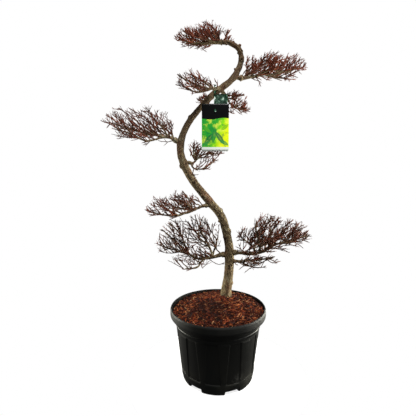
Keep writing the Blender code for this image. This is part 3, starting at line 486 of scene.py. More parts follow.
def smooth_path(points, step):
    """A Catmull-Rom curve through the points, as points about one step apart."""
    points = [np.array(p, float) for p in points]
    ends = [2 * points[0] - points[1]] + points + [2 * points[-1] - points[-2]]
    path = []
    for a, b, c, d in zip(ends, ends[1:], ends[2:], ends[3:]):
        pieces = max(1, round(np.linalg.norm(c[:3] - b[:3]) / step))
        for i in range(pieces):
            t = i / pieces
            path.append(0.5 * (2 * b + (c - a) * t + (2 * a - 5 * b + 4 * c - d) * t ** 2
                               + (3 * b - a - 3 * c + d) * t ** 3))
    return np.array(path + [points[-1]])


def trunk_axis(step):
    """Points along the middle of the stem, each with the stem's radius there."""
    return smooth_path([(*point, radius) for point, radius in trunk_course], step)


def spokes_along(path, sides):
    """Directions all round the path at each of its points, which turn as little as can be."""
    steps = unit(np.diff(path, axis=0))
    along = unit(np.vstack([steps[:1], steps[:-1] + steps[1:], steps[-1:]]))
    across = np.array((0.31, -0.87, 0.38))
    if abs(across @ along[0]) > 0.9:
        across = np.array((0.87, 0.31, 0.38))
    firsts = []
    for direction in along:
        across = unit(across - direction * (across @ direction))
        firsts.append(across)
    firsts = np.array(firsts)
    turns = np.arange(sides)[:, None] * 2 * math.pi / sides
    return firsts[:, None] * np.cos(turns) + np.cross(along, firsts)[:, None] * np.sin(turns)


def tube_faces(rings, sides, pointed=False):
    """The faces of a tube whose rings follow each other, with its two ends closed."""
    rings -= pointed
    faces, last = ring_faces(rings, sides), (rings - 1) * sides
    if pointed:
        faces += [(last + k, last + (k + 1) % sides, last + sides) for k in range(sides)]
    else:
        faces.append(tuple(range(last, last + sides)))
    faces.append(tuple(reversed(range(sides))))
    return faces


def travelled(path):
    """How far along the path each of its points is."""
    return np.concatenate([[0], np.cumsum(np.linalg.norm(np.diff(path, axis=0), axis=1))])


def nearest(points, spot):
    """The number of the point that lies nearest to a spot."""
    return int(np.argmin(np.linalg.norm(points - spot, axis=1)))


def make_trunk():
    """The stem, with its bark, the swell of its foot, its knots and the collars of its limbs."""
    axis = trunk_axis(trunk_step)
    out = spokes_along(axis[:, :3], trunk_sides)
    turns = np.arange(trunk_sides) * 2 * math.pi / trunk_sides
    radius = np.repeat(axis[:, 3:4], trunk_sides, 1)
    # The bark's own coordinates: round the stem and along it, as if the stem were straight.
    flat = np.dstack([radius * np.cos(turns), radius * np.sin(turns),
                      np.repeat(travelled(axis[:, :3])[:, None], trunk_sides, 1)])
    rise = np.zeros_like(radius)
    for i, ring in enumerate(flat):
        for k, (x, y, s) in enumerate(ring):
            lump = noise.noise(Vector((x * 26, y * 26, s * 13)))
            fissure = abs(noise.noise(Vector((x * 190, y * 190, s * 42 + 5))))
            plate = noise.fractal(Vector((x * 95, y * 95, s * 48)), 0.7, 2.0, 3)
            rise[i, k] = (lump_height * lump - fissure_depth * (1 - fissure) ** 5
                          + plate_height * plate)
    # Old roots swell the foot of the stem where it goes into the mulch.
    foot = 1 - smooth_share(axis[:, 2], 0.345, 0.440)
    rise += foot[:, None] * (0.0018 * np.cos(4 * turns + 0.6) + 0.0012 * np.cos(7 * turns))[None]
    place = axis[:, None, :3] + out * radius[:, :, None]
    for spot, facing, *sizes in knots:
        size, stand, sink = in_metres(sizes)
        near = nearest(axis[:, :3], in_metres(spot))
        eye = axis[near, :3] + unit(np.array(facing)) * axis[near, 3]
        away = np.linalg.norm(place - eye, axis=2) / size
        rise += stand * np.exp(-(away / 0.9) ** 4)
        rise -= sink * np.exp(-(away / 0.45) ** 4)
    for spot, course, size in limb_roots:
        eye = np.array(spot) + unit(np.array(course)) * axis[nearest(axis[:, :3], spot), 3]
        away = np.linalg.norm(place - eye, axis=2) / size
        rise += collar_swell * size * np.exp(-(away / 1.9) ** 2)
    points = (axis[:, None, :3] + out * (radius + rise)[:, :, None]).reshape(-1, 3)
    piece = add_piece("trunk_stem", points, tube_faces(len(axis), trunk_sides), trunk_bark,
                      ["trunk"])
    mark_points(piece, "bark_place", flat.reshape(-1, 3))
    mark_points(piece, "rise", rise.reshape(-1))


def bark_finish(name, place_mark, warm):
    """Fissured conifer bark on coordinates that run along the stem."""
    skin = Finish(name, gloss=0.2, roughness=0.85)
    place = skin.mark(place_mark, "Vector") if place_mark else skin.place
    fissures = skin.grain(330.0, 5.0, 0.62, place, (1.0, 1.0, 0.22))
    plates = skin.grain(120.0, 4.0, 0.6, place, (1.0, 1.0, 0.35))
    patches = skin.grain(22.0, 3.0, 0.55, place, (1.0, 1.0, 0.6))
    worn = skin.grain(52.0, 3.0, 0.6, place, (1.0, 1.0, 0.5))
    # Cracks part the bark into long scales, whose outlines wander.
    wander = skin.node("TexNoise", None, {"Vector": place, "Scale": 120.0}, output="Color")
    bent = skin.node("VectorMath", {"operation": "MULTIPLY_ADD"},
                     {0: wander, 1: (0.008, 0.008, 0.008), 2: place})
    bent = skin.node("VectorMath", {"operation": "MULTIPLY"}, {0: bent, 1: (1.0, 1.0, 0.40)})
    scales = skin.node("TexVoronoi", {"feature": "DISTANCE_TO_EDGE"},
                       {"Vector": bent, "Scale": 165.0})
    cracks = skin.band(scales, 0.01, 0.16)
    surface = skin.ramp(fissures, (0.32, colour(30, 20, 12)), (0.46, colour(90, 73, 48)),
                        (0.60, colour(134, 119, 87)), (0.74, colour(168, 157, 126)))
    surface = skin.blend(skin.band(patches, 0.50, 0.64) * warm, surface, colour(98, 54, 36))
    surface = skin.blend(skin.band(worn, 0.55, 0.68) * 0.60, surface, colour(150, 145, 116))
    surface = skin.blend((1 - skin.band(worn, 0.34, 0.46)) * 0.62, surface, colour(54, 36, 24))
    surface = skin.blend((1 - skin.band(plates, 0.30, 0.46)) * 0.8, surface, colour(36, 25, 16))
    surface = skin.blend((1 - cracks) * 0.50, surface, colour(32, 22, 14))
    return skin, surface, fissures + plates * 0.8 + cracks * 0.7


stem, stem_colour, stem_relief = bark_finish("trunk_bark", "bark_place", 0.55)
sunk = stem.mark("rise")
# The younger wood of the upper bends is browner and darker than the old foot.
stem_height = stem.coordinate("Z")
stem_colour = stem.blend(stem.band(stem_height, 0.95, 1.35) * 0.50, stem_colour,
                         colour(66, 44, 29))
# Where the pads shade it, between the label and the long limb, it is darkest.
shaded = stem.band(stem_height, 1.06, 1.14) * (1 - stem.band(stem_height, 1.25, 1.33))
stem_colour = stem.blend(shaded * 0.40, stem_colour, colour(44, 30, 20))
# Knots and collars are redder than the stem. Where the bark is sunk, above all in the middles of
# the knots, painted shade darkens it almost to black.
stem_colour = stem.blend(stem.band(sunk, 0.0022, 0.0046) * 0.55, stem_colour, colour(92, 50, 34))
# Painted shade: the deeper the bark is sunk, the darker it is painted.
stem_colour = stem.blend((1 - stem.band(sunk, -0.0060, -0.0012)) * 0.92, stem_colour,
                         colour(20, 13, 10))
trunk_bark = stem.feed(base_color=stem_colour, roughness=0.72 + stem_relief * 0.12,
                       normal=stem.relief(stem_relief, 0.0022, 0.85))
make_trunk()

# The pads: on each limb the new growth is pinched back every year, so it stands in a shallow
# dome of crooked bare twigs set with short spurs. Young wood is red-brown, old wood grey-brown.
# Each pad's sizes are in millimetres: its limbs and stray twigs as courses of points, extra feet
# for shoots on the trunk, and the domes that its twigs fill, each a middle and half sizes.
# It has some leading shoots, many fine ones, and young wood that is more or less rust-red.
pads = {
    "spray_apex": dict(
        radius=9, shoots=64, seed=3, fine=150, rust=0.75,
        limbs=[[(14, -7, 1543), (-20, -12, 1540), (-55, -18, 1534), (-95, -25, 1531),
                (-130, -30, 1533), (-168, -36, 1541)],
               [(-40, -15, 1537), (-70, 12, 1540), (-105, 22, 1547)]],
        trunk_feet=[(22, -5, 1544), (26, -4, 1545), (30, -3, 1545), (36, -2, 1545), (40, -1, 1545),
                    (46, 0, 1544)],
        spear_lobes=[((26, -6, 1552), (44, 45, 56))],
        strays=[[(-83, -20, 1528), (-87, -26, 1515), (-96, -30, 1501)],
                [(-87, -24, 1520), (-70, -30, 1505), (-52, -34, 1491)],
                [(-117, -28, 1529), (-134, -34, 1520), (-151, -40, 1521)]],
        lobes=[((-137, -30, 1540), (62, 58, 56)), ((-66, -20, 1543), (74, 66, 78)),
               ((4, -12, 1552), (46, 50, 62))]),
    "spray_upper_right": dict(
        radius=7.6, shoots=70, seed=11, fine=200, rust=0.75,
        limbs=[[(69, 13, 1398), (120, 21, 1399), (166, 30, 1411), (208, 38, 1420), (251, 46, 1423),
                (310, 54, 1438), (375, 58, 1464)],
               [(208, 38, 1420), (262, 72, 1418), (322, 88, 1420)],
               [(166, 30, 1411), (215, 2, 1424), (275, -12, 1440)]],
        trunk_feet=[(100, 18, 1405), (114, 21, 1402), (108, 19, 1403)],
        spear_lobes=[((118, 22, 1412), (36, 40, 66))],
        strays=[[(170, 28, 1410), (181, 20, 1386), (192, 16, 1359)],
                [(178, 21, 1389), (195, 12, 1386)]],
        lobes=[((150, 32, 1425), (46, 56, 76)), ((243, 42, 1430), (84, 94, 90)),
               ((344, 52, 1446), (64, 78, 64))]),
    "spray_upper_left": dict(
        radius=6.6, shoots=46, seed=5, fine=42, rust=0.7,
        limbs=[[(6, 5, 1348), (-6, -36, 1340), (-48, -50, 1333), (-82, -60, 1342),
                (-116, -72, 1352), (-149, -84, 1366), (-178, -94, 1380)],
               [(-36, -46, 1335), (-60, -40, 1360), (-93, -36, 1383), (-135, -34, 1400)],
               [(-48, -50, 1333), (-74, -66, 1317), (-105, -76, 1315), (-140, -84, 1327)]],
        lobes=[((-128, -64, 1352), (64, 66, 50)), ((-56, -50, 1340), (58, 60, 52)),
               ((-86, -66, 1320), (66, 42, 22))]),
    "spray_upper_back": dict(
        radius=5.5, shoots=36, seed=8, fine=66, rust=0.65,
        limbs=[[(6, 5, 1348), (30, 36, 1331), (55, 50, 1296), (90, 64, 1272), (142, 80, 1276)],
               [(30, 36, 1331), (70, 52, 1330), (125, 72, 1336)]],
        lobes=[((88, 66, 1288), (56, 58, 70)), ((103, 70, 1259), (58, 48, 36))]),
    "spray_small_back": dict(
        radius=4, shoots=12, seed=2, fine=26, rust=0.6,
        limbs=[[(-48, -4, 1299), (-60, 30, 1298), (-76, 52, 1306)]],
        lobes=[((-72, 52, 1302), (36, 44, 36))]),
    "spray_long_left": dict(
        radius=8, shoots=80, seed=21, fine=132, rust=0.55,
        limbs=[[(-172, -26, 1105), (-215, -36, 1128), (-262, -48, 1134), (-317, -62, 1143),
                (-372, -74, 1156), (-450, -90, 1180)],
               [(-242, -42, 1131), (-277, -72, 1115), (-308, -90, 1108), (-336, -100, 1115),
                (-363, -108, 1131), (-405, -116, 1143)],
               [(-240, -42, 1131), (-300, -18, 1150), (-365, -10, 1170)]],
        strays=[[(-190, -36, 1119), (-224, -44, 1108), (-259, -50, 1111), (-267, -52, 1115)],
                [(-293, -80, 1108), (-309, -88, 1095), (-329, -92, 1090)]],
        lobes=[((-412, -78, 1170), (90, 80, 82)), ((-312, -60, 1152), (90, 98, 102)),
               ((-230, -40, 1140), (50, 58, 72)), ((-330, -95, 1116), (80, 36, 20))]),
    "spray_short_right": dict(
        radius=5, shoots=38, seed=14, fine=52, rust=0.6,
        limbs=[[(-160, -19, 1024), (-118, -14, 1016), (-91, -12, 1041), (-57, -6, 1058),
                (12, 6, 1060)],
               [(-124, -15, 1017), (-112, -30, 993), (-78, -40, 989), (-43, -45, 1005)]],
        strays=[[(-140, -4, 968), (-116, -20, 963), (-88, -30, 967)],
                [(-25, 2, 1047), (-16, -4, 1031), (2, -10, 1026)]],
        lobes=[((-102, 0, 1052), (46, 52, 68)), ((-25, 5, 1058), (58, 50, 32)),
               ((-70, -34, 988), (44, 28, 22))]),
    "spray_left_lower": dict(
        radius=6.8, shoots=56, seed=31, fine=88, rust=0.5,
        limbs=[[(-24, 25, 826), (-78, 6, 818), (-119, -12, 800), (-165, -30, 785),
                (-210, -45, 779), (-310, -70, 800)],
               [(-119, -12, 800), (-170, 10, 806), (-225, 14, 818)],
               [(-116, -10, 801), (-126, 0, 830), (-144, 6, 860), (-170, 8, 892)]],
        lobes=[((-258, -58, 796), (76, 66, 74)), ((-180, -36, 802), (74, 88, 84)),
               ((-112, -10, 826), (40, 48, 50))]),
    "spray_low_left": dict(
        radius=10, shoots=100, seed=44, fine=180, rust=0.42,
        limbs=[[(56, 58, 582), (10, 74, 568), (-48, 88, 550), (-108, 102, 545), (-155, 112, 576),
                (-212, 128, 624), (-288, 146, 688)],
               [(-20, 82, 556), (-50, 96, 625), (-88, 104, 690), (-105, 108, 742)],
               [(-120, 106, 556), (-190, 98, 580), (-290, 84, 616)],
               [(-78, 96, 548), (-98, 84, 506), (-165, 70, 498)],
               [(-154, 112, 576), (-172, 102, 638), (-203, 98, 690), (-242, 96, 730)],
               [(-28, 84, 555), (-10, 104, 606), (4, 114, 654)]],
        strays=[[(-119, 100, 552), (-158, 94, 559), (-193, 88, 550), (-223, 86, 548)],
                [(-149, 102, 562), (-164, 94, 543), (-166, 90, 529)],
                [(-38, 86, 551), (-23, 76, 533), (7, 70, 522), (36, 66, 536)],
                [(-98, 90, 529), (-78, 82, 521), (-53, 78, 517)]],
        lobes=[((-206, 118, 626), (110, 84, 118)), ((-104, 104, 640), (92, 96, 136)),
               ((-26, 104, 616), (50, 58, 120)), ((-220, 98, 570), (86, 52, 36)),
               ((-130, 78, 503), (70, 36, 24))]),
    "spray_low_right": dict(
        radius=8.8, shoots=96, seed=52, fine=250, rust=0.46,
        limbs=[[(56, 58, 586), (110, 42, 588), (160, 26, 586), (215, 4, 604), (259, -14, 638),
                (330, -36, 662), (403, -56, 692)],
               [(230, 0, 614), (246, 12, 667), (246, 18, 714), (236, 22, 762)],
               [(300, -27, 650), (345, -10, 702), (366, -2, 742)],
               [(186, 18, 590), (159, 30, 626), (130, 38, 650), (107, 44, 668)],
               [(200, 10, 598), (184, -30, 664), (168, -50, 716), (170, -58, 760)]],
        strays=[[(328, -36, 665), (352, -48, 656), (387, -56, 630)],
                [(256, -10, 633), (295, -24, 622), (330, -32, 605)]],
        lobes=[((134, 30, 618), (60, 62, 102)), ((238, -8, 656), (92, 104, 132)),
               ((342, -28, 668), (86, 90, 98))]),
    "spray_low_right_under": dict(
        radius=6, shoots=32, seed=63, fine=34, rust=0.42,
        limbs=[[(57, 62, 541), (100, 46, 545), (150, 18, 556), (205, -12, 570), (262, -38, 590)],
               [(108, 43, 546), (138, 36, 530), (172, 26, 522), (204, 16, 521)]],
        strays=[[(180, 10, 561), (165, 2, 534), (146, -4, 521), (122, -8, 503)],
                [(131, 36, 539), (116, 30, 521), (102, 28, 507)],
                [(191, 12, 536), (218, 2, 527), (231, -2, 526)]],
        lobes=[((205, -14, 562), (90, 56, 26)), ((144, 26, 532), (72, 46, 28))])}
for pad in pads.values():
    for part in ("radius", "limbs", "trunk_feet", "spear_lobes", "strays", "lobes"):
        pad[part] = in_metres(pad.get(part, []))
# How the older shoots find their way: by short steps, held a little to the heading they leave
# by, on an even turn, and rather upwards. A twig's radius comes from the twigs it carries.
shoot_step, shoot_shortest, lead_choices, shoot_ease = 0.026, 0.012, 7, 1.8
shoot_clearance, shoot_hold, shoot_turn, limb_turn, shoot_rise = 0.013, 0.42, 0.35, -0.20, 1.2
twig_tip, twig_power, shoot_stout, limb_tip, limb_step = 0.0014, 2.4, 1.45, 0.0028, 0.024
collar_proud, collar_gap, apex_gap, limb_flare = 0.007, 0.0003, 0.0012, 0.75
curve_step, warp_size, spur_every, bud_radius = 0.0085, 0.0016, 0.0090, 0.0004
# How this year's shoots stand: up, out of the nearest dome, along their stem, and at random.
spear_rise, spear_spread, spear_follow, spear_scatter = 0.85, 6.0, 0.35, 0.36
spear_shortest, spear_longest, spear_choices, spear_taper = 0.016, 0.078, 14, 0.42
spear_thin, spear_stout, fork_shortest, fork_thin = 0.0021, 0.014, 0.018, 0.82
# The label and its strap, which the twigs keep clear of.
tag_centre, tag_size = (-0.016, -0.0555, 1.168), (0.118, 0.001, 0.203)
tag_slot, tag_slot_size = (-0.017, 1.2400), (0.0060, 0.0100)
strap_ring = [(-0.0530, 1.2400), (-0.0440, 1.2850), (-0.0240, 1.3220), (-0.0225, 1.3440),
              (-0.0130, 1.3600), (0.0050, 1.3640), (0.0210, 1.3480), (0.0225, 1.3200),
              (0.0080, 1.2860), (-0.0200, 1.2560)]
tongue_size, tongue_centre = (0.052, 0.0010, 0.050), (0.0110, -0.0505, 1.2860)


def limb_start(pad):
    """Where a pad's main limb leaves its collar, and the direction it leaves in."""
    root, second = np.array(pad["limbs"][0][0]), np.array(pad["limbs"][0][1])
    out = unit(second - root)
    if tuple(root) == trunk_course[-1][0]:
        return root, out
    axis = trunk_axis(0.01)
    near = nearest(axis[:, :3], root)
    chord = axis[min(near + 1, len(axis) - 1), :3] - axis[max(near - 1, 0), :3]
    lean = abs(out @ chord / np.linalg.norm(chord))
    reach = (axis[near, 3] + pad["radius"] * lean) / math.sqrt(1 - lean ** 2)
    return root + out * (reach + collar_proud), out


class Skeleton:
    """Axis points of one pad: where each is, which it grows from and how thick it is there."""

    def __init__(self):
        room = 6000
        self.points, self.headings = np.zeros((room, 3)), np.zeros((room, 3))
        self.limbs, self.radii = np.zeros(room, int), np.zeros(room)
        self.parents, self.size = [], 0

    def grown(self):
        """The points, headings and limb numbers of all that has grown so far."""
        return self.points[:self.size], self.headings[:self.size], self.limbs[:self.size]

    def add(self, point, parent, limb, radius=0.0):
        """Adds a point that grows from its parent. Points of shoots have -1 for their limb."""
        node, self.size = self.size, self.size + 1
        self.points[node], self.limbs[node], self.radii[node] = point, limb, radius
        if parent >= 0:
            self.headings[node] = unit(self.points[node] - self.points[parent])
        self.parents.append(parent)
        return node


def lay_limbs(pad):
    """The pad's limbs as a skeleton, each tapered from where it forks to its tip."""
    skeleton = Skeleton()
    start, out = limb_start(pad)
    on_tip = tuple(pad["limbs"][0][0]) == trunk_course[-1][0]
    start = start + out * (apex_gap if on_tip else collar_gap)
    for number, limb in enumerate(pad["limbs"]):
        if number == 0:
            path = smooth_path([start + 0.003 * out] + limb[1:], limb_step)
            parent, root_radius = skeleton.add(start, -1, number, pad["radius"]), pad["radius"]
        else:
            path = smooth_path(limb, limb_step)
            main = [i for i in range(skeleton.size) if skeleton.limbs[i] == 0]
            parent = min(main, key=lambda i: np.linalg.norm(skeleton.points[i] - path[0]))
            root_radius = 0.78 * skeleton.radii[parent]
            path = path[1:]
        for i, point in enumerate(path):
            along = (i + 1) / len(path)
            parent = skeleton.add(point, parent, number,
                                  root_radius * (1 - along) + limb_tip * along)
    return skeleton


def draw_leads(pad):
    """Points spread evenly through the domed lobes of the pad, where its shoots end."""
    rng = np.random.default_rng(pad["seed"])
    sizes = np.array([half[0] * half[1] * half[2] for _, half in pad["lobes"]]) ** 0.7
    leads = []
    while len(leads) < pad["shoots"]:
        spots = []
        while len(spots) < lead_choices:
            middle, half = pad["lobes"][rng.choice(len(sizes), p=sizes / sizes.sum())]
            offset = rng.uniform(-1, 1, 3)
            if 0.4 < np.linalg.norm(offset) < 1 and offset[2] > -0.15:
                spots.append(np.array(middle) + offset * half)
        room = [0.0] * lead_choices
        if leads:
            grown = np.array(leads)
            room = [np.linalg.norm(grown - spot, axis=1).min() for spot in spots]
        leads.append(spots[int(np.argmax(room))])
    return np.array(leads)


def rising(spots, root):
    """The way shoots point at each of the spots: up, and away from the pad's root."""
    away = (spots - root) * (1, 1, 0)
    away /= np.maximum(np.linalg.norm(away, axis=-1), 1e-6)[..., None]
    ways = 0.7 * away + (0, 0, 0.75)
    return ways / np.linalg.norm(ways, axis=-1)[..., None]


def grow_shoots(skeleton, leads, blocked):
    """Ends one shoot at each lead. It forks where the way is short and the turn is gentle."""
    points, _, _ = skeleton.grown()
    reach = [np.linalg.norm(points - lead, axis=1).min() for lead in leads]
    for lead in leads[np.argsort(reach)]:
        points, headings, limbs = skeleton.grown()
        way = lead - points
        length = np.linalg.norm(way, axis=1)
        turn = np.einsum("ij,ij->i", way, headings) / np.maximum(length, 1e-6)
        sharpest = np.where(limbs < 0, shoot_turn, limb_turn)
        finish = unit(way * (1 + shoot_hold) - headings * length[:, None] * shoot_hold)
        rise = finish @ rising(lead, points[0])
        cost = length * (1 + shoot_ease * (1 - turn) + shoot_rise * (1 - rise))
        cost[(turn < sharpest) | (length < shoot_shortest)] = 9.0
        cost[0] = 9.0
        for node in np.argsort(cost)[:8]:
            if cost[node] > 8.0:
                break
            # The shoot leaves along its parent's heading and curves towards the lead.
            pieces = max(1, round(length[node] / shoot_step))
            middle = points[node] + 0.5 * (way[node] * (1 - shoot_hold)
                                           + headings[node] * length[node] * shoot_hold)
            shares = np.arange(1, pieces + 1)[:, None] / pieces
            route = ((1 - shares) ** 2 * points[node] + 2 * shares * (1 - shares) * middle
                     + shares ** 2 * lead)
            away = np.linalg.norm(route[:, None] - blocked[None, :, :3], axis=2)
            if (away < blocked[:, 3]).any():
                continue
            for spot in route:
                node = skeleton.add(spot, node, -1)
            break


def thicken(skeleton):
    """Gives each shoot its radius, from its tips down."""
    sums = np.zeros(skeleton.size)
    for node in range(skeleton.size - 1, -1, -1):
        if skeleton.limbs[node] >= 0:
            continue
        sums[node] = max(sums[node], twig_tip ** twig_power)
        skeleton.radii[node] = sums[node] ** (1 / twig_power)
        sums[skeleton.parents[node]] += sums[node]


def stems_of(skeleton):
    """Splits the skeleton into stems: each is a list of points from its root to its tip."""
    branches = {}
    for node, parent in enumerate(skeleton.parents):
        branches.setdefault(parent, []).append(node)
    stems, roots = [], [0]
    while roots:
        stem = [roots.pop(0)]
        while True:
            here = branches.get(stem[-1], [])
            limb = skeleton.limbs[stem[-1]]
            same = [n for n in here if skeleton.limbs[n] == limb]
            onward = max(same, key=lambda n: skeleton.radii[n]) if same else None
            roots += [n for n in here if n != onward]
            if onward is None:
                break
            stem.append(onward)
        stems.append(stem)
    return stems


def crooked(points):
    """The points moved by a smooth field, so that stems bend alike where they join."""
    moved = np.array(points, float)
    for scale, size in ((75, warp_size), (210, 0.6 * warp_size)):
        for k, shift in enumerate((3.7, 17.1, 29.4)):
            moved[:, k] += [size * noise.noise(Vector(p) * scale + Vector((shift,) * 3))
                            for p in points]
    return moved


def add_stem(bundle, path, radii, sides, tone):
    """A tapering stem that ends in a point."""
    rings = path[:, None] + radii[:, None, None] * spokes_along(path, sides)
    points = np.vstack([rings[:-1].reshape(-1, 3), path[-1:]])
    girths = np.concatenate([np.repeat(radii[:-1], sides), radii[-1:]])
    bundle.add(points, tube_faces(len(path), sides, pointed=True), tone, girths)


def add_spur(bundle, foot, out, length, radius, tone):
    """A short spur: a stubby bud that stands on a twig."""
    side = unit(np.cross(out, (0.3, 0.5, 0.81)))
    other = 0.87 * np.cross(out, side)
    ring = [side, -0.5 * side + other, -0.5 * side - other]
    base, waist = foot - out * radius * 0.4, foot + out * length * 0.6
    points = np.array([base + 0.8 * radius * r for r in ring] + [waist + radius * r for r in ring]
                      + [foot + out * length])
    bundle.add(points, tube_faces(3, 3, pointed=True), tone, 0.0012)


def sideways(rng, way, lift):
    """A random direction that is nearly square to a twig, and rather up than down."""
    out = rng.normal(0, 1, 3) + (0, 0, lift)
    return unit(out - way * (out @ way) * 0.9)


def set_spurs(bundle, rng, points, radii, tone):
    """Spurs all along a twig, at uneven distances."""
    travel = travelled(points)
    distance = rng.uniform(0.4, 1.0) * spur_every
    while distance < travel[-1]:
        i = max(1, min(int(np.searchsorted(travel, distance)), len(points) - 1))
        share = (distance - travel[i - 1]) / max(travel[i] - travel[i - 1], 1e-9)
        way = points[i] - points[i - 1]
        foot, radius = points[i - 1] + way * share, radii[i - 1] * (1 - share) + radii[i] * share
        out = sideways(rng, unit(way), 0.5)
        add_spur(bundle, foot + out * radius * 0.6, out, rng.uniform(0.0018, 0.0036),
                 rng.uniform(0.0010, 0.0016), tone - 0.12)
        distance += spur_every * rng.uniform(0.6, 1.5)


def spear_length(pad, foot, way):
    """How far a straight shoot gets from its foot before it leaves the pad's domes."""
    reach = np.arange(0.006, spear_longest + 0.010, 0.004)
    spots = foot + way * reach[:, None]
    inside = np.zeros(len(reach), bool)
    for middle, half in pad["lobes"] + pad["spear_lobes"]:
        offset = (spots - middle) / half
        inside |= (np.linalg.norm(offset, axis=1) < 1.04) & (offset[:, 2] > -0.80)
    return reach[inside].max() if inside.any() else 0.0


def grow_spears(bundle, rng, pad, skeleton, blocked):
    """This year's growth: straight forked shoots that stand up and outwards all over the pad."""
    points, headings, limbs = skeleton.grown()
    root, parents = points[0], np.array(skeleton.parents)
    reach = np.linalg.norm(points - root, axis=1)
    weight = np.where(limbs < 0, 1.0, 0.55) * (reach > 0.12 * reach.max())
    weight /= weight.sum()
    middles = np.array([middle for middle, _ in pad["lobes"]])
    grown = points[limbs < 0]
    for _ in range(pad["fine"]):
        # Of several shoots that could grow, the one that ends in the emptiest place does.
        nodes = rng.choice(skeleton.size, spear_choices, p=weight)
        shares = rng.uniform(0, 1, (spear_choices, 1))
        feet = points[parents[nodes]] * (1 - shares) + points[nodes] * shares
        domes = np.linalg.norm(feet[:, None] - middles, axis=2).argmin(axis=1)
        ways = unit(spear_rise * rising(feet, root)
                    + spear_spread * (feet - middles[domes]) * (1, 1, 0)
                    + spear_follow * headings[nodes]
                    + rng.normal(0, spear_scatter, (spear_choices, 3)))
        lengths = np.array([spear_length(pad, foot, way) for foot, way in zip(feet, ways)])
        lengths = np.minimum(lengths * rng.uniform(0.66, 1.0, spear_choices), spear_longest)
        tips = feet + ways * lengths[:, None]
        room = np.linalg.norm(tips[:, None] - grown, axis=2).min(axis=1)
        away = np.linalg.norm(tips[:, None] - blocked[:, :3], axis=2)
        room[(lengths < spear_shortest) | (away < blocked[:, 3] * 0.8).any(axis=1)] = 0.0
        best = int(room.argmax())
        if room[best] == 0.0:
            continue
        grown = np.vstack([grown, tips[best], feet[best] + ways[best] * lengths[best] * 0.5])
        length, radius = lengths[best], skeleton.radii[nodes[best]]
        tone = pad["rust"] + rng.normal(0, 0.17)
        thick = min(spear_thin + spear_stout * length, 1.25 * radius)
        stack = [(feet[best], ways[best], length, thick, 0)]
        while stack:
            start, course, run, thick, order = stack.pop()
            pieces = max(2, round(run / curve_step))
            shares = np.linspace(0, 1, pieces + 1)
            bow = sideways(rng, course, 0.8) * run * rng.uniform(0.02, 0.10)
            path = start + course * run * shares[:, None] + bow * (shares ** 2)[:, None]
            radii = thick * (1 - spear_taper * shares) * rng.uniform(0.85, 1.15, len(shares))
            radii[-1] = bud_radius
            path = crooked(path)
            add_stem(bundle, path, radii, 4 if order == 0 else 3, tone + rng.normal(0, 0.08))
            set_spurs(bundle, rng, path, radii, tone)
            forks = rng.choice((1, 2)) if order == 0 else int(rng.uniform() < 0.30)
            for _ in range(forks if run > fork_shortest else 0):
                at = rng.uniform(0.25, 0.75)
                side = sideways(rng, course, 0.9)
                onward = unit(course * rng.uniform(0.70, 1.0) + side * rng.uniform(0.55, 1.0))
                stack.append((start + course * run * at + bow * at ** 2, onward,
                              run * (1 - at) * rng.uniform(0.7, 1.05) + 0.004,
                              thick * fork_thin, order + 1))


def hang_strays(bundle, rng, pad, skeleton):
    """The few thin twigs that hang or reach out of the pad, each from the nearest older wood."""
    for stray in pad["strays"]:
        points, _, _ = skeleton.grown()
        path = crooked(smooth_path([points[nearest(points, stray[0])]] + stray[1:], 0.006))
        shares = np.linspace(0, 1, len(path))
        radii = (0.0022 - 0.0009 * shares) * rng.uniform(0.85, 1.15, len(path))
        radii[-1] = bud_radius
        tone = pad["rust"] - 0.15
        add_stem(bundle, path, radii, 5, tone)
        set_spurs(bundle, rng, path, radii, tone)
        for at in rng.integers(1, max(2, len(path) - 3), 2):
            course = unit(path[at + 1] - path[at])
            out = course + 0.9 * sideways(rng, course, 0.0)
            side = path[at] + out * np.linspace(0, rng.uniform(0.010, 0.022), 4)[:, None]
            add_stem(bundle, crooked(side), np.array([0.0014, 0.0013, 0.0011, bud_radius]), 4,
                     tone)


def make_pad(name, pad, blocked):
    """One pad: its limbs, shoots, spears and spurs in one mesh. Also gives what it blocks."""
    skeleton = lay_limbs(pad)
    grow_shoots(skeleton, draw_leads(pad), blocked)
    spots = [(*(skeleton.points[parent] * (1 - share) + skeleton.points[node] * share),
              shoot_clearance)
             for node, parent in enumerate(skeleton.parents) if node for share in (0.5, 1.0)]
    thicken(skeleton)
    for spot in pad["trunk_feet"]:
        skeleton.add(spot, 0, -1, 0.004)
    rng = np.random.default_rng(pad["seed"] + 200)
    bundle = Bundle()
    root = np.array(pad["limbs"][0][0])
    for stem in stems_of(skeleton):
        limb, parent = skeleton.limbs[stem[0]], skeleton.parents[stem[0]]
        nodes = ([parent] if parent >= 0 else []) + stem
        rows = np.column_stack([skeleton.points[nodes], skeleton.radii[nodes]])
        if parent >= 0:
            rows[0, 3] = min(rows[1, 3] * 1.15, rows[0, 3] * 0.8)
        if limb == 0:
            # The main limb starts inside the trunk and flares where it comes out of it.
            rows = np.vstack([[*root, rows[0, 3]], rows])
        path = smooth_path(rows, curve_step if limb < 0 else 0.007)
        points, radii = crooked(path[:, :3]), np.maximum(path[:, 3], 0.0006)
        if limb < 0:
            radii = radii * shoot_stout
        if limb == 0:
            away = np.linalg.norm(path[:, :3] - rows[1, :3], axis=1)
            radii = radii * (1 + limb_flare * np.exp(-away / 0.012) * (np.arange(len(path)) > 0))
        radii = radii * (1 + 0.15 * rng.uniform(-1, 1, len(radii)))
        radii[-1] = 0.0003 if limb < 0 else radii[-1]
        tone = pad["rust"] + rng.normal(0, 0.12) - 0.1
        sides = 10 if limb == 0 else 7 if limb > 0 else 5
        add_stem(bundle, points, radii, sides, tone)
        start = 8 if limb == 0 else 0
        set_spurs(bundle, rng, points[start:], radii[start:], tone)
    grow_spears(bundle, rng, pad, skeleton, blocked)
    hang_strays(bundle, rng, pad, skeleton)
    bundle.piece(name.replace("spray", "pad"), twig_bark, "twig_bark", [name])
    return np.vstack([blocked, spots])


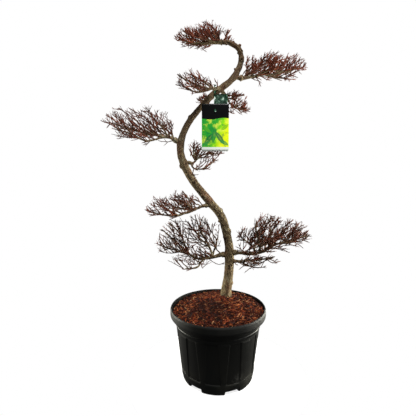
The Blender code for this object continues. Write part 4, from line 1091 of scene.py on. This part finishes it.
twig, old_wood, twig_relief = bark_finish("twig_bark", None, 0.35)
young_wood = twig.ramp(twig.mark("tone"), (0.05, colour(54, 39, 27)), (0.40, colour(84, 50, 33)),
                       (0.70, colour(104, 44, 27)), (1.0, colour(148, 72, 40)))
mottle = twig.grain(420.0, 3.0)
young_wood = twig.blend(twig.band(mottle, 0.35, 0.7) * 0.5, young_wood, colour(38, 20, 13))
twig_colour = twig.blend(twig.band(twig.mark("girth"), 0.0016, 0.0040), young_wood, old_wood)
twig_bark = twig.feed(base_color=twig_colour, roughness=0.62 + mottle * 0.2,
                      normal=twig.relief(mottle + twig_relief * 0.5, 0.0010, 0.7))
axis = trunk_axis(0.012)
blocked = np.column_stack([axis[:, :3], axis[:, 3] + shoot_clearance])
card_spots = [(tag_centre[0] + tag_size[0] * (i / 6 - 0.5), tag_centre[1],
               tag_centre[2] + tag_size[2] * (k / 10 - 0.5), shoot_clearance + 0.004)
              for i in range(7) for k in range(11)]
card_spots += [(tag_slot[0], y, z, shoot_clearance + 0.004) for y, z in strap_ring]
card_spots += [(tongue_centre[0] + tongue_size[0] * (i / 3 - 0.5), tongue_centre[1],
                tongue_centre[2] + tongue_size[2] * (k / 3 - 0.5), shoot_clearance + 0.004)
               for i in range(4) for k in range(4)]
blocked = np.vstack([blocked, card_spots])
for name, pad in pads.items():
    blocked = make_pad(name, pad, blocked)

# The hanging label: a printed card of coated board with rounded corners. It hangs in a slot
# near its top, and it has taken a slight curl. The print is a plain leaf motif on green.
card_bow, card_thickness, card_corner = 0.0030, 0.0008, 0.003


def make_card():
    """The card: a grid of faces with rounded corners and a slot, given its thickness."""
    left, right = tag_centre[0] - tag_size[0] / 2, tag_centre[0] + tag_size[0] / 2
    low, high = tag_centre[2] - tag_size[2] / 2, tag_centre[2] + tag_size[2] / 2
    hole_x = [tag_slot[0] - tag_slot_size[0] / 2, tag_slot[0] + tag_slot_size[0] / 2]
    hole_z = [tag_slot[1] - tag_slot_size[1] / 2, tag_slot[1] + tag_slot_size[1] / 2]
    bend = card_corner * (1 - np.cos(np.linspace(0, math.pi / 2, 6)))
    columns = np.sort(np.concatenate([left + bend, right - bend, hole_x,
                                      np.linspace(left + 0.008, hole_x[0] - 0.004, 9),
                                      np.linspace(hole_x[1] + 0.004, right - 0.008, 9)]))
    rows = np.sort(np.concatenate([[low, high], hole_z,
                                   np.linspace(low + 0.01, hole_z[0] - 0.004, 24),
                                   np.linspace(hole_z[1] + 0.003, high - 0.005, 4)]))
    points, faces = [], []
    for z in rows:
        for x in columns:
            from_corner = max(0.0, card_corner - min(x - left, right - x))
            cut = card_corner - math.sqrt(max(0.0, card_corner ** 2 - from_corner ** 2))
            height = min(max(z, low + cut), high - cut)
            bow = card_bow * ((x - tag_slot[0]) / (tag_size[0] / 2)) ** 2
            lean = 0.0022 * ((height - tag_slot[1]) / tag_size[2]) ** 2
            points.append((x, tag_centre[1] + bow + lean, height))
    width = len(columns)
    for j, z in enumerate(rows[:-1]):
        for i, x in enumerate(columns[:-1]):
            inside = (hole_x[0] - 1e-6 < x < hole_x[1] - 1e-6
                      and hole_z[0] - 1e-6 < z < hole_z[1] - 1e-6)
            if not inside:
                at = j * width + i
                faces.append((at, at + 1, at + width + 1, at + width))
    piece = add_piece("label_card", points, faces, card_print, ["tag_card"],
                      sharp=40)
    plate = piece.modifiers.new("Thickness", 'SOLIDIFY')
    plate.thickness, plate.offset = card_thickness, 0.0


def printed_leaf(print_, x, z, centre, half, tilt):
    """1 inside a pointed leaf on the card, less on its midrib and 0 outside it."""
    dx, dz = x - centre[0], z - centre[1]
    along = dx * math.cos(tilt) + dz * math.sin(tilt)
    across = dz * math.cos(tilt) - dx * math.sin(tilt)
    along, across = along / half[0], (across / half[1]).size()
    blade = 1 - print_.band(along * along + across, 0.93, 1.03)
    return blade * (0.55 + print_.band(across, 0.05, 0.12) * 0.45)


card = Finish("label_print", gloss=0.15, roughness=0.34)
card_x, card_z = card.coordinate("X"), card.coordinate("Z")
# The panel runs from leaf green at its left to lime at its lower right.
slide = card.band((card_x + 0.075) * 0.9 - (card_z - 1.10) * 0.35, 0.02, 0.085)
field = card.ramp(slide, (0.0, colour(44, 160, 48)), (0.45, colour(128, 212, 24)),
                  (1.0, colour(222, 236, 24)))
wash = card.grain(46.0, 4.0)
field = card.blend(card.band(wash, 0.50, 0.66) * 0.60, field, colour(236, 244, 84))
field = card.blend((1 - card.band(wash, 0.36, 0.46)) * 0.55, field, colour(18, 116, 62))
for centre, half, tilt, shade in (
        ((-0.050, 1.158), (0.022, 0.0070), 2.45, colour(84, 170, 44)),
        ((0.026, 1.170), (0.022, 0.0072), 0.70, colour(116, 184, 30)),
        ((-0.044, 1.120), (0.033, 0.0105), 0.85, colour(22, 104, 58)),
        ((-0.022, 1.136), (0.036, 0.0110), 1.40, colour(34, 128, 60)),
        ((0.004, 1.124), (0.034, 0.0105), 2.20, colour(16, 96, 66)),
        ((0.022, 1.104), (0.024, 0.0080), 2.65, colour(44, 140, 70)),
        ((-0.058, 1.100), (0.020, 0.0068), 0.35, colour(48, 146, 62))):
    field = card.blend(printed_leaf(card, card_x, card_z, centre, half, tilt) * 0.85, field, shade)
footer = 1 - card.band(card_z, 1.0842, 1.0850)
field = card.blend(footer, field, colour(223, 229, 221))
header_edge = 1.2060 + 0.0035 * (card_x * 52 + 0.4).sine()
header = card.band(card_z - header_edge, -0.0004, 0.0006)
field = card.blend(header, field, colour(6, 7, 7))
# The back of the card is bare grey-white board.
board = card.coordinate("Y", card.node("NewGeometry", output="Normal"))
field = card.blend(card.band(board, 0.2, 0.5), field, card.blend(wash, colour(206, 208, 200),
                                                                colour(224, 226, 219)))
card_print = card.feed(base_color=field, roughness=0.30 + wash * 0.10)
make_card()

# The label's strap: a clear moulded band that loops round the trunk, with a flat tongue beside
# it and a stud pushed into the card's slot. It is soft vinyl; its dark green colour is a painted
# view of the wood behind it, and paler painted glints lie along its ripples.
strap_width, strap_thickness, strap_sides, stud_sides = 0.0080, 0.0009, 12, 20
tongue_half_thickness, hem_proud, hem_start = 0.00045, 0.0004, 0.86


def make_strap():
    """The band, its tongue and its stud in one piece."""
    bundle = Bundle()
    path = smooth_path([(tag_slot[0], y, z) for y, z in strap_ring + strap_ring[:1]], 0.003)[:-1]
    rings = []
    for i, point in enumerate(path):
        along = path[(i + 1) % len(path)] - path[i - 1]
        out = np.cross(unit(along), (1.0, 0.0, 0.0))
        for turn in np.arange(strap_sides) * 2 * math.pi / strap_sides:
            # A flat band with a full round edge.
            flat = np.sign(math.cos(turn)) * abs(math.cos(turn)) ** 0.35
            rings.append(point + np.array((1.0, 0, 0)) * flat * strap_width / 2
                         + out * math.sin(turn) * strap_thickness / 2)
    # The last ring is joined to the first.
    faces = [tuple(corner % len(rings) for corner in face)
             for face in ring_faces(len(path) + 1, strap_sides)]
    bundle.add(np.array(rings), faces, 0.5)
    # The tongue: a thin plate with a thicker hem, curved a little about its length.
    across, up = 14, 14
    points, faces = [], []
    for side in (-1, 1):
        for j in range(up + 1):
            for i in range(across + 1):
                u, v = i / across * 2 - 1, j / up * 2 - 1
                edge = max(abs(u), abs(v))
                squareness = edge / max(math.hypot(u, v), 1e-6)
                pull = 1 - 0.05 * edge ** 8 * (1 / max(squareness, 0.7) - 1) * 2
                hem = tongue_half_thickness + hem_proud * (edge > hem_start)
                bend = 0.0035 * u * u + 0.0012 * math.sin(3 * v)
                points.append((tongue_centre[0] + u * pull * tongue_size[0] / 2,
                               tongue_centre[1] + bend - 0.0025 + side * hem,
                               tongue_centre[2] + v * pull * tongue_size[2] / 2))
    layer, row = (across + 1) * (up + 1), across + 1
    for j in range(up):
        for i in range(across):
            at = j * row + i
            faces.append((at, at + 1, at + row + 1, at + row))
            at += layer
            faces.append((at + row, at + row + 1, at + 1, at))
    rim = (list(range(across)) + [j * row + across for j in range(up)]
           + [up * row + i for i in range(across, 0, -1)] + [j * row for j in range(up, 0, -1)])
    faces += [(a, a + layer, b + layer, b) for a, b in zip(rim, rim[1:] + rim[:1])]
    bundle.add(np.array(points), faces, 0.5)
    # The stud: a peg through the slot with a wider head in front of the card.
    for half_x, half_z, near, far in ((0.0026, 0.0046, -0.0575, -0.0505),
                                      (0.0042, 0.0062, -0.0588, -0.0573)):
        turns = np.arange(stud_sides) * 2 * math.pi / stud_sides
        outline = np.column_stack([half_x * np.sign(np.cos(turns)) * abs(np.cos(turns)) ** 0.5,
                                   half_z * np.sign(np.sin(turns)) * abs(np.sin(turns)) ** 0.5])
        ends = [np.column_stack([tag_slot[0] + outline[:, 0], np.full(stud_sides, y),
                                 tag_slot[1] + outline[:, 1]]) for y in (near, far)]
        bundle.add(np.vstack(ends), tube_faces(2, stud_sides), 0.5)
    bundle.piece("label_strap", clear_vinyl, "clear_strap", ["tag_strap"], sharp=40)


vinyl = Finish("clear_vinyl", gloss=0.35, roughness=0.12)
ripple = vinyl.grain(60.0, 3.0, 0.6)
# Painted light: the dark green stands for the wood seen through the clear vinyl, and the pale stop
# paints glints along the ripples.
clear_vinyl = vinyl.feed(
    base_color=vinyl.ramp(ripple, (0.40, colour(14, 36, 25)), (0.54, colour(40, 84, 60)),
                          (0.66, colour(178, 206, 186))),
    alpha=0.90 - vinyl.band(ripple, 0.4, 0.7) * 0.25, roughness=0.08 + ripple * 0.12,
    normal=vinyl.relief(ripple, 0.003, 0.6))
make_strap()

# The studio: a round sheet of white paper, a broad soft lamp high in front, weak ones low at the
# sides and behind, and the camera at the height of the middle of the plant.
paper_radius, paper_sides = 0.42, 96
floor_mesh = bpy.data.meshes.new("studio_floor")
floor_mesh.from_pydata([(paper_radius * math.cos(2 * math.pi * k / paper_sides),
                         paper_radius * math.sin(2 * math.pi * k / paper_sides), 0.0)
                        for k in range(paper_sides)], [], [tuple(range(paper_sides))])
floor = bpy.data.objects.new("studio_floor", floor_mesh)
bpy.context.scene.collection.objects.link(floor)
paper = Finish("studio_paper", roughness=0.9, base_color=(0.3, 0.3, 0.3, 1.0),
               emission_strength=1.0)
paper.feed(emission_color=paper.ramp(paper.distance((0.0, 0.0, 0.0)),
                                     (0.16, (0.80, 0.80, 0.80, 1.0)),
                                     (0.38, (1.0, 1.0, 1.0, 1.0))))
floor_mesh.materials.append(paper.material)
# The paper neither shows in the container's gloss nor lights its wall.
floor.visible_glossy, floor.visible_diffuse = False, False

# The air is white where the camera sees it, and lights the plant with a soft grey.
world = bpy.data.worlds.new("studio_air")
world.use_nodes = True
air = world.node_tree
seen = air.nodes.new("ShaderNodeLightPath")
glow = air.nodes.new("ShaderNodeMapRange")
glow.inputs["To Min"].default_value, glow.inputs["To Max"].default_value = 0.13, 1.0
air.links.new(seen.outputs["Is Camera Ray"], glow.inputs["Value"])
air.links.new(glow.outputs["Result"], air.nodes["Background"].inputs["Strength"])
air.nodes["Background"].inputs["Color"].default_value = (1.0, 1.0, 1.0, 1.0)
bpy.context.scene.world = world
bpy.context.scene.view_settings.view_transform = "Standard"


def add_lamp(name, spot, target, size, power, tint=(1.0, 1.0, 1.0)):
    """A soft rectangular lamp at a spot, turned to a target."""
    lamp = bpy.data.lights.new(name, 'AREA')
    lamp.shape, lamp.size, lamp.size_y = 'RECTANGLE', size[0], size[1]
    lamp.energy, lamp.color = power, tint
    holder = bpy.data.objects.new(name, lamp)
    holder.location = spot
    holder.rotation_euler = (Vector(target) - Vector(spot)).to_track_quat('-Z', 'Y').to_euler()
    bpy.context.scene.collection.objects.link(holder)


add_lamp("lamp_key", (1.1, -2.7, 6.2), (0.0, 0.0, 0.8), (2.2, 2.2), 640)
add_lamp("lamp_right", (2.3, -0.6, 0.9), (0.0, 0.0, 0.5), (0.6, 1.6), 34)
add_lamp("lamp_low_left", (-1.15, 0.34, 0.40), (0.0, 0.0, 0.17), (0.5, 0.6), 34, (1.0, 0.98, 0.86))
add_lamp("lamp_low_right", (1.15, 0.34, 0.40), (0.0, 0.0, 0.17), (0.5, 0.6), 46, (1.0, 0.98, 0.86))
add_lamp("lamp_back", (0.3, 2.8, 2.6), (0.0, 0.0, 0.9), (2.0, 1.2), 40)

camera = bpy.data.cameras.new("photo_camera")
camera.lens, camera.sensor_width, camera.clip_start = 27.11, 36.0, 0.05
viewer = bpy.data.objects.new("photo_camera", camera)
viewer.location = (-0.0479, -1.448, 0.957)
viewer.rotation_euler = (math.radians(84.227), 0.0, 0.0)
bpy.context.scene.collection.objects.link(viewer)
bpy.context.scene.camera = viewer
